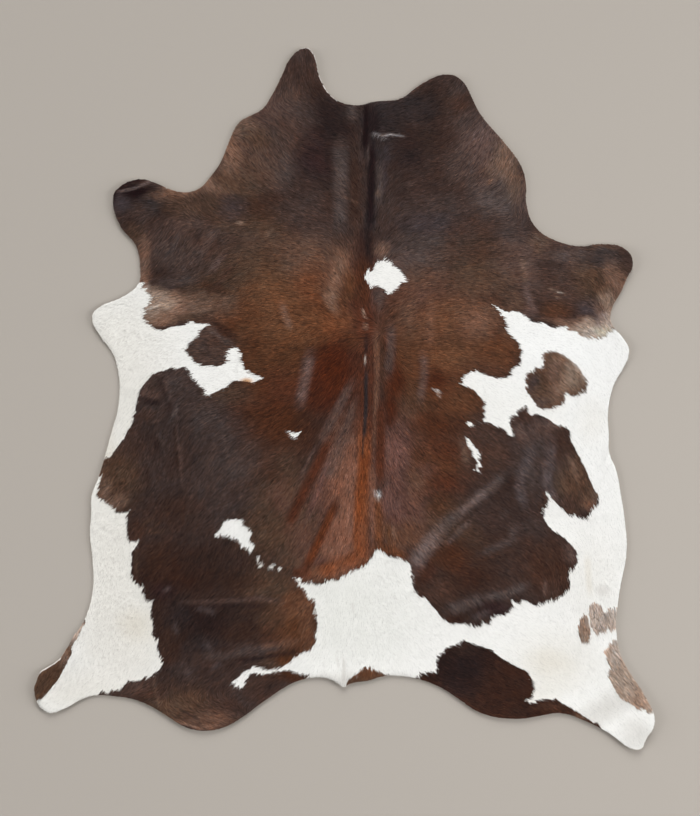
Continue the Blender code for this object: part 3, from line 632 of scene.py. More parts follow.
# Soft spots of tone on the brown hair: place and reach on the chart, turn in degrees, and how
# much of it. Each is laid over the ones before it.
brownSpots = [
    # broad grounds
    ("warm mauve", 300, 85, 26, 40, 0, 0.9), ("mauve", 285, 150, 40, 40, 0, 0.9),
    ("light mauve", 245, 150, 26, 34, 20, 0.9), ("dark umber", 325, 170, 26, 50, 0, 0.9),
    ("dark fawn", 230, 190, 34, 18, -20, 0.9), ("blue black", 385, 130, 24, 36, 0, 0.9),
    ("dark umber", 430, 110, 36, 30, 0, 0.9), ("umber", 430, 170, 36, 36, 0, 0.9),
    ("light mauve", 480, 150, 34, 40, 20, 0.9), ("light slate", 500, 200, 30, 26, 0, 0.9),
    ("grey umber", 440, 220, 50, 22, 0, 0.9), ("warm mauve", 300, 215, 40, 24, 0, 0.9),
    ("dark fawn", 258, 230, 30, 24, 0, 0.9), ("umber", 150, 205, 34, 22, 0, 0.9),
    ("mauve", 160, 245, 30, 34, 0, 0.9), ("mauve", 200, 240, 30, 34, 0, 0.9),
    ("dark fawn", 250, 270, 40, 26, 0, 0.9), ("sandy brown", 310, 262, 34, 28, 0, 0.9),
    ("tawny", 280, 305, 44, 26, 0, 0.9), ("russet", 240, 320, 34, 26, 0, 0.9),
    ("amber", 320, 325, 36, 26, 0, 0.9), ("dark russet", 290, 350, 36, 26, 0, 0.9),
    ("dark russet", 265, 385, 34, 26, 0, 0.9), ("oxblood", 330, 375, 30, 34, 0, 0.9),
    ("brick", 365, 300, 14, 60, 0, 0.9), ("brick", 366, 400, 12, 60, 0, 0.9),
    ("light slate", 420, 255, 40, 20, 0, 0.9), ("dark fawn", 480, 262, 40, 24, 0, 0.9),
    ("light mauve", 520, 262, 26, 30, 0, 0.9), ("mauve", 560, 275, 30, 26, 0, 0.9),
    ("dark fawn", 600, 275, 24, 30, 0, 0.9), ("dark rose", 420, 305, 40, 30, 0, 0.9),
    ("ochre", 470, 320, 40, 30, 0, 0.9), ("russet", 495, 350, 26, 22, 0, 0.9),
    ("russet", 440, 360, 36, 30, 0, 0.9), ("dark russet", 400, 345, 22, 50, 0, 0.9),
    ("russet", 460, 400, 26, 22, 0, 0.9), ("dark russet", 420, 400, 30, 30, 0, 0.9),
    ("dark rose", 400, 450, 26, 40, 0, 0.9), ("dark russet", 440, 460, 34, 34, 0, 0.9),
    ("warm mauve", 484, 450, 26, 40, 0, 0.9), ("dark rose", 410, 520, 26, 30, 0, 0.9),
    ("dark fawn", 450, 530, 34, 30, 0, 0.9), ("umber", 500, 500, 30, 34, 0, 0.9),
    ("slate", 535, 460, 26, 34, 0, 0.9), ("dark fawn", 575, 480, 20, 34, -25, 0.9),
    ("umber", 520, 530, 26, 34, 0, 0.9), ("warm umber", 490, 565, 44, 30, 0, 0.9),
    ("chestnut", 550, 570, 26, 26, 0, 0.9), ("warm umber", 450, 590, 34, 26, 0, 0.9),
    ("umber", 500, 598, 34, 14, 0, 0.9), ("grey umber", 170, 400, 30, 34, 0, 0.9),
    ("grey umber", 220, 420, 40, 34, 0, 0.9), ("warm chestnut", 280, 430, 40, 30, 0, 0.9),
    ("umber", 160, 460, 34, 44, 0, 0.9), ("grey umber", 220, 490, 44, 40, 0, 0.9),
    ("dark fawn", 280, 485, 30, 34, 0, 0.9), ("dark fawn", 120, 480, 24, 30, 0, 0.9),
    ("umber", 160, 530, 34, 30, 0, 0.9), ("dark fawn", 270, 530, 34, 26, 0, 0.9),
    ("fawn", 305, 540, 22, 44, 20, 0.9), ("copper rose", 345, 500, 24, 74, 0, 0.9),
    ("dark chestnut", 170, 580, 30, 34, 0, 0.9), ("dark umber", 220, 580, 40, 26, 0, 0.9),
    ("dark fawn", 270, 590, 30, 26, 0, 0.9), ("dark umber", 180, 630, 30, 34, 0, 0.9),
    ("dark umber", 230, 630, 40, 26, 0, 0.9), ("russet", 292, 625, 26, 34, 0, 0.9),
    ("umber", 200, 680, 40, 26, 0, 0.9), ("dark fawn", 180, 702, 40, 18, 15, 0.9),
    ("grey umber", 240, 695, 30, 20, -25, 0.9), ("warm mauve", 150, 688, 24, 10, 0, 0.9),
    ("dark fawn", 285, 664, 26, 12, -15, 0.9), ("black brown", 470, 672, 34, 30, 0, 0.9),
    ("dark chestnut", 512, 688, 30, 26, 0, 0.9), ("mauve", 205, 345, 26, 22, 0, 0.9),
    ("dark fawn", 215, 290, 30, 16, 0, 0.9), ("light tan", 596, 329, 18, 7, -5, 1),
    ("tan", 572, 322, 14, 4, 5, 0.9), ("mauve", 236, 478, 30, 26, 0, 0.55),
    # smaller spots
    ("grey umber", 301, 57, 16, 10, 0, 0.7), ("umber", 300, 78, 22, 24, 0, 0.7),
    ("mauve", 288, 96, 22, 12, -30, 0.8), ("dark umber", 318, 92, 8, 20, -20, 0.8),
    ("black brown", 330, 112, 24, 16, 20, 0.9), ("black brown", 336, 130, 22, 12, 0, 0.9),
    ("light slate", 351, 113, 5, 9, 0, 0.8), ("light mauve", 276, 108, 22, 14, -20, 0.8),
    ("slate", 300, 118, 18, 14, 0, 0.6), ("light fawn", 240, 128, 18, 12, 0, 0.9),
    ("dark fawn", 257, 140, 16, 12, 0, 0.8), ("mauve", 286, 145, 20, 18, 30, 0.8),
    ("warm tan", 231, 152, 12, 22, 20, 0.9), ("light slate", 283, 172, 16, 18, 0, 0.7),
    ("purple black", 314, 160, 20, 28, 10, 0.9), ("umber", 310, 188, 24, 16, 0, 0.7),
    ("fawn", 252, 172, 24, 20, 0, 0.7), ("beige tan", 212, 186, 20, 9, -35, 0.9),
    ("fawn", 228, 182, 16, 12, -30, 0.7), ("chestnut", 264, 206, 22, 12, 0, 0.8),
    ("grey umber", 300, 208, 26, 18, 0, 0.7), ("dark fawn", 222, 214, 24, 14, -30, 0.6),
    ("tan", 240.5, 221.8, 2.8, 2.2, -20, 1), ("pink fawn", 269, 235, 3, 6, -30, 0.6),
    ("grey umber", 318, 226, 24, 14, 0, 0.7), ("mauve", 322, 238, 20, 12, 0, 0.7),
    ("ochre", 345, 276, 8, 12, 0, 0.8), ("russet", 342, 296, 8, 12, 0, 0.8),
    ("warm umber", 354, 190, 7, 46, 0, 0.8), ("black brown", 140, 194, 26, 10, -10, 0.95),
    ("lavender", 122, 204, 9, 12, 0, 0.8), ("slate black", 158, 204, 16, 10, 20, 1),
    ("ink", 140, 193, 18, 5, -12, 0.9), ("blue black", 152, 199, 12, 6, 0, 0.8),
    ("lavender", 232, 208, 14, 12, 0, 0.7), ("black brown", 164, 210, 12, 7, 10, 0.8),
    ("grey umber", 142, 212, 14, 9, 0, 0.7), ("umber", 127, 222, 12, 10, 30, 0.8),
    ("dark fawn", 136, 236, 10, 12, 40, 0.7), ("umber", 158, 228, 14, 12, 0, 0.7),
    ("slate", 164, 246, 18, 20, 0, 0.7), ("warm tan", 176, 194, 26, 6, 5, 0.8),
    ("dark fawn", 186, 206, 26, 12, 0, 0.7), ("umber", 163, 274, 16, 10, -10, 0.9),
    ("beige tan", 144, 258, 7, 20, 0, 0.8), ("slate", 190, 262, 18, 18, 0, 0.6),
    ("mauve", 240, 244, 24, 16, 0, 0.6), ("dark fawn", 258, 262, 26, 18, 0, 0.7),
    ("slate", 176, 281, 22, 6, 5, 0.8), ("light fawn", 200, 303, 30, 11, 6, 0.9),
    ("tan", 160, 299, 18, 9, 8, 1), ("light tan", 143, 291, 6, 8, 0, 0.9),
    ("warm tan", 174, 300, 16, 9, 8, 0.7), ("tan", 153, 317, 10, 8, 0, 0.9),
    ("beige tan", 170, 317, 14, 7, 5, 0.9), ("fawn", 186, 317, 14, 6, 5, 0.9),
    ("sand", 152, 296, 7, 6, 0, 0.7), ("tan", 170, 305, 14, 7, 10, 0.9),
    ("beige tan", 186, 306, 11, 7, 8, 0.9), ("pale tan", 164, 305, 8, 5, 0, 0.8),
    ("sandy brown", 218, 308, 20, 12, 0, 0.7), ("chestnut", 214, 288, 18, 5, -15, 0.8),
    ("mauve", 208, 346, 22, 20, 0, 1), ("warm chestnut", 228, 330, 18, 7, 40, 0.7),
    ("sandy brown", 300, 248, 30, 12, 0, 0.6), ("tawny", 272, 288, 24, 22, 0, 0.7),
    ("copper", 312, 284, 18, 22, 0, 0.7), ("copper", 330, 322, 22, 12, 0, 0.8),
    ("copper", 326, 339, 22, 6, 0, 0.8), ("russet", 350, 342, 12, 12, 0, 0.7),
    ("tawny", 286, 330, 34, 22, 0, 0.8), ("dark russet", 268, 366, 34, 26, 0, 0.8),
    ("oxblood", 336, 360, 22, 26, 0, 0.85), ("oxblood", 318, 392, 24, 22, 0, 0.8),
    ("dark russet", 252, 345, 16, 22, -10, 0.6), ("dark fawn", 226, 394, 24, 12, -10, 0.7),
    ("brick", 278, 388, 20, 20, 0, 0.7), ("warm chestnut", 250, 416, 22, 18, 0, 0.8),
    ("warm chestnut", 286, 416, 20, 16, 0, 0.8), ("black brown", 366, 246, 7, 26, 0, 0.95),
    ("warm chestnut", 362, 282, 8, 26, 0, 0.8), ("brick", 364, 322, 9, 22, 0, 0.7),
    ("light slate", 377, 296, 7, 10, 0, 0.8), ("beige tan", 383, 249, 8, 7, 20, 0.75),
    ("blue black", 380, 118, 20, 18, 0, 0.9), ("ink", 371, 126, 8, 20, 0, 0.7),
    ("blue black", 414, 108, 26, 16, -20, 0.9), ("umber", 440, 86, 16, 8, -20, 0.8),
    ("slate", 456, 88, 10, 10, 0, 0.7), ("warm mauve", 458, 104, 16, 12, 0, 0.7),
    ("slate", 470, 122, 14, 12, 30, 0.7), ("black brown", 410, 152, 16, 22, 0, 0.9),
    ("dark umber", 436, 140, 22, 20, 0, 0.8), ("slate", 460, 166, 16, 18, 0, 0.8),
    ("ash", 482, 142, 18, 18, 30, 0.8), ("pink fawn", 504, 158, 12, 24, -25, 0.95),
    ("light fawn", 514, 184, 9, 18, 0, 0.9), ("warm tan", 491, 182, 3, 3, 0, 0.9),
    ("light slate", 494, 200, 18, 14, 0, 0.7), ("umber", 412, 186, 14, 18, 0, 0.7),
    ("light mauve", 410, 184, 3, 2.5, 0, 0.6), ("grey umber", 440, 206, 30, 12, -5, 0.7),
    ("lavender", 384, 170, 5, 24, 0, 0.7), ("beige tan", 377.5, 195, 3, 2.5, 0, 0.9),
    ("grey umber", 396, 216, 14, 16, 0, 0.7), ("lavender", 430, 222, 30, 10, 0, 0.7),
    ("warm mauve", 476, 226, 26, 12, 0, 0.7), ("slate", 510, 226, 14, 16, 30, 0.8),
    ("slate", 420, 244, 22, 10, 0, 0.7), ("warm mauve", 470, 252, 34, 12, 0, 0.7),
    ("light mauve", 400, 262, 16, 10, 20, 0.6), ("sandy brown", 420, 280, 26, 14, 0, 0.7),
    ("fawn", 470, 284, 26, 14, 0, 0.7), ("fawn", 506, 284, 12, 16, 0, 0.7),
    ("sandy brown", 408, 318, 12, 24, 0, 0.7), ("tawny", 440, 318, 22, 22, 0, 0.7),
    ("beige brown", 478, 322, 18, 16, 0, 0.8), ("russet", 498, 352, 20, 16, 0, 0.8),
    ("tawny", 450, 356, 26, 16, 0, 0.7), ("oxblood", 396, 386, 10, 26, 0, 0.85),
    ("brick", 390, 352, 6, 24, 0, 0.7), ("oxblood", 436, 380, 12, 14, 0, 0.8),
    ("russet", 462, 402, 20, 16, 0, 0.9), ("warm chestnut", 438, 424, 28, 12, 0, 0.8),
    ("russet", 412, 352, 12, 30, 0, 0.6), ("dark fawn", 412, 402, 14, 14, 0, 0.6),
    ("light fawn", 540, 242, 10, 10, 40, 0.7), ("light slate", 566, 256, 18, 9, 10, 0.7),
    ("umber", 552, 268, 16, 8, 0, 0.8), ("warm mauve", 556, 290, 20, 14, 0, 0.8),
    ("grey umber", 594, 260, 16, 9, 0, 0.7), ("slate", 604, 253, 14, 4, 5, 0.9),
    ("slate black", 606, 260, 15, 8, 0, 0.95), ("dark fawn", 590, 284, 14, 14, 0, 0.7),
    ("light mauve", 590, 309, 12, 7, 0, 0.8), ("beige tan", 617, 284, 9, 24, 20, 0.9),
    ("tan", 607, 306, 8, 16, 20, 0.95), ("lavender", 584, 311, 9, 7, 0, 0.9),
    ("light tan", 605, 322, 7, 8, 0, 1), ("pale ash", 600, 318, 5, 6, 30, 0.7),
    ("pale tan", 580, 328, 14, 5, 8, 0.95), ("straw", 604, 332, 8, 6, 0, 0.8),
    ("light tan", 592, 336, 12, 4, 0, 1), ("sandy brown", 518, 302, 13, 9, 30, 1),
    ("ash", 529, 311, 8, 6, 40, 0.8), ("beige tan", 572, 321, 26, 4, -3, 0.8),
    ("dark russet", 556, 310, 18, 8, 0, 0.7), ("dark fawn", 112, 474, 16, 20, 0, 0.8),
    ("pink fawn", 103, 490, 8, 12, 0, 0.9), ("pink fawn", 114, 504, 16, 7, 25, 0.95),
    ("warm mauve", 128, 446, 14, 16, -30, 0.7), ("mauve", 154, 384, 14, 12, 0, 0.7),
    ("slate", 180, 382, 14, 14, 0, 0.7), ("warm mauve", 147, 416, 8, 6, 0, 0.7),
    ("slate", 214, 420, 24, 20, 0, 0.7), ("grey umber", 218, 470, 26, 28, 0, 0.7),
    ("grey umber", 166, 436, 12, 16, 0, 0.7), ("grey umber", 152, 470, 12, 24, 0, 0.6),
    ("warm mauve", 256, 452, 24, 12, 0, 0.7), ("chestnut", 268, 470, 14, 12, 0, 0.8),
    ("dark rose", 284, 496, 14, 18, 0, 0.7), ("warm umber", 180, 510, 24, 16, 0, 0.6),
    ("chestnut", 138, 530, 10, 10, 0, 0.7), ("warm umber", 158, 558, 20, 18, 0, 0.85),
    ("dark umber", 214, 560, 24, 18, 0, 0.7), ("warm umber", 240, 580, 18, 14, 0, 0.6),
    ("dark chestnut", 186, 580, 22, 12, 0, 0.7), ("purple black", 164, 592, 14, 9, 0, 0.8),
    ("dark fawn", 268, 540, 14, 14, 0, 0.7), ("fawn", 290, 560, 14, 10, 0, 0.6),
    ("black brown", 204, 622, 26, 16, 0, 0.9), ("blue black", 176, 614, 14, 14, 0, 0.7),
    ("warm umber", 250, 608, 14, 8, 0, 0.7), ("dark fawn", 280, 588, 12, 10, 0, 0.7),
    ("umber", 262, 603, 20, 6, 0, 0.6), ("dark fawn", 272, 614, 14, 14, 0, 0.7),
    ("russet", 298, 622, 14, 28, 0, 0.9), ("ochre", 308, 626, 8, 24, 0, 0.8),
    ("warm umber", 244, 634, 18, 14, 0, 0.7), ("warm umber", 168, 646, 12, 18, 0, 0.7),
    ("blue black", 204, 646, 22, 10, 0, 0.7), ("dark russet", 284, 658, 18, 6, -20, 0.9),
    ("grey umber", 252, 648, 22, 7, -12, 0.7), ("umber", 206, 682, 30, 14, 0, 0.7),
    ("mauve", 134, 688, 18, 7, 10, 0.9), ("fawn", 178, 706, 18, 8, 25, 0.8),
    ("sandy brown", 208, 718, 26, 9, 0, 0.9), ("warm mauve", 256, 692, 18, 10, -35, 0.7),
    ("warm chestnut", 292, 677, 14, 6, -10, 0.9), ("warm mauve", 268, 678, 12, 6, -10, 0.7),
    ("warm mauve", 230, 706, 18, 8, -20, 0.7), ("grey umber", 186, 668, 16, 9, 0, 0.6),
    ("copper rose", 346, 490, 14, 44, 0, 0.9), ("copper rose", 340, 546, 16, 24, 0, 0.9),
    ("dark rose", 318, 492, 16, 24, 20, 0.7), ("dark rose", 306, 540, 16, 22, 20, 0.7),
    ("beige brown", 322, 570, 20, 8, 0, 0.8), ("rose", 396, 456, 14, 26, 0, 0.85),
    ("rose", 396, 506, 16, 22, 0, 0.8), ("dark rose", 414, 512, 12, 26, 0, 0.9),
    ("beige brown", 420, 484, 12, 16, 0, 0.6), ("ochre", 408, 534, 16, 14, 0, 0.7),
    ("dark rose", 428, 470, 10, 8, 0, 0.7), ("dark russet", 440, 505, 14, 9, 30, 0.8),
    ("fawn", 290, 490, 10, 14, 0, 0.6), ("brick", 442, 450, 20, 16, 0, 0.6),
    ("brick", 444, 484, 20, 14, 0, 0.7), ("warm mauve", 484, 430, 12, 7, 0, 0.7),
    ("warm mauve", 496, 456, 16, 16, 0, 0.8), ("warm mauve", 524, 416, 10, 8, 0, 0.7),
    ("light mauve", 546, 428, 20, 9, 20, 0.9), ("light mauve", 520, 430, 8, 9, 0, 0.8),
    ("grey umber", 538, 478, 6, 26, 0, 0.85), ("dark umber", 508, 486, 12, 14, 0, 0.8),
    ("umber", 486, 516, 20, 14, 0, 0.8), ("fawn", 576, 480, 12, 24, -20, 0.8),
    ("fawn", 588, 496, 8, 13, -30, 0.95), ("beige brown", 587, 505, 9, 5, -20, 0.9),
    ("umber", 563, 504, 7, 6, 0, 0.9), ("pink fawn", 595, 494, 4, 9, -30, 0.9),
    ("warm mauve", 570, 504, 12, 9, 0, 0.7), ("chestnut", 560, 446, 8, 12, 0, 0.7),
    ("warm chestnut", 450, 556, 20, 16, 0, 0.8), ("dark chestnut", 470, 580, 18, 12, 0, 0.8),
    ("umber", 510, 568, 20, 14, 0, 0.7), ("warm umber", 548, 562, 16, 18, 0, 0.8),
    ("light mauve", 570, 554, 6, 9, 0, 0.9), ("grey umber", 536, 526, 16, 9, 20, 0.6),
    ("purple black", 492, 608, 22, 8, -10, 0.95), ("dark umber", 454, 604, 12, 8, 0, 0.8),
    ("warm mauve", 440, 590, 14, 12, 0, 0.8), ("dark chestnut", 456, 618, 14, 6, 10, 0.9),
    ("brick", 424, 570, 9, 12, 0, 0.8), ("warm mauve", 554, 590, 12, 9, 0, 0.7),
    ("black brown", 458, 672, 20, 18, 0, 1), ("dark umber", 464, 650, 12, 6, 0, 0.8),
    ("dark chestnut", 508, 684, 24, 18, 0, 0.95), ("dark chestnut", 524, 690, 10, 12, 0, 0.8),
    ("chestnut", 552, 706, 16, 6, 0, 0.9), ("fawn", 580, 716, 14, 5, 30, 0.9),
    ("dark chestnut", 480, 704, 20, 10, 20, 0.8), ("russet", 366, 673, 16, 6, 0, 1),
    ("dark fawn", 540, 384, 9, 14, 0, 1), ("pink fawn", 556, 392, 10, 14, 0, 0.9),
    ("tan", 572, 374, 11, 17, -20, 1), ("warm tan", 558, 360, 9, 8, 0, 0.9),
    ("lavender", 533, 384, 5, 10, 0, 0.7), ("light mauve", 552, 372, 6, 8, 0, 0.8),
    ("tan", 584, 629, 7, 14, 0, 1), ("light tan", 596, 620, 8, 12, 0, 1),
    ("light tan", 611, 620, 8, 12, 0, 1), ("light tan", 616, 655, 8, 12, 0, 1),
    ("pale tan", 626, 684, 8, 9, 0, 1), ("sand", 638, 703, 9, 9, 0, 1),
    ("light tan", 78, 636, 8, 14, 0, 1), ("pink fawn", 66, 658, 6, 8, 0, 1),
    ("dark fawn", 54, 678, 9, 10, 0, 1), ("dark fawn", 42, 692, 6, 8, 0, 1),
    # small corrections over the others
    ("pink tan", 578, 380, 9, 10, 0, 0.6), ("pink fawn", 551, 371, 6, 7, 0, 0.7),
    ("light slate", 541, 403, 10, 6, 0, 0.6), ("beige tan", 598, 311, 6, 5, 0, 0.7),
    ("russet", 600, 292, 7, 7, 0, 0.6), ("mauve", 575, 319, 9, 4, 0, 0.7),
    ("pale tan", 590, 323, 7, 4, 0, 0.7), ("brick", 388, 338, 5, 10, 0, 0.6),
    ("pink fawn", 510, 170, 7, 12, -25, 0.7), ("warm tan", 213, 186, 10, 5, -35, 0.5),
    ("warm tan", 227, 167, 6, 8, 20, 0.35), ("beige tan", 144, 280, 6, 8, 0, 0.9),
    ("sand", 150, 310, 7, 7, 0, 0.9), ("sand", 160, 300, 8, 5, 0, 0.6),
    ("pink tan", 165, 318, 9, 5, 0, 0.5), ("pink fawn", 200, 309, 12, 6, 0, 0.7),
    ("copper rose", 329, 551, 6, 8, 0, 0.6), ("ochre", 290, 611, 12, 9, 0, 0.6),
    ("ochre", 288, 645, 10, 6, 0, 0.7), ("ochre", 304, 602, 7, 9, 0, 0.7),
    ("oxblood", 300, 571, 7, 5, 0, 0.8), ("tawny", 311, 575, 6, 4, 0, 0.7),
    ("bright copper", 331, 570, 7, 6, 0, 0.6), ("rose", 320, 561, 5, 5, 0, 0.8),
    ("bright copper", 351, 561, 7, 6, 0, 0.6), ("light fawn", 206, 300, 9, 7, 0, 0.7),
    ("beige tan", 161, 321, 9, 4, 0, 0.7), ("copper rose", 349, 545, 6, 6, 0, 0.5),
    ("light slate", 234, 462, 26, 24, 0, 0.4), ("grey umber", 235, 425, 18, 14, 0, 0.4),
]

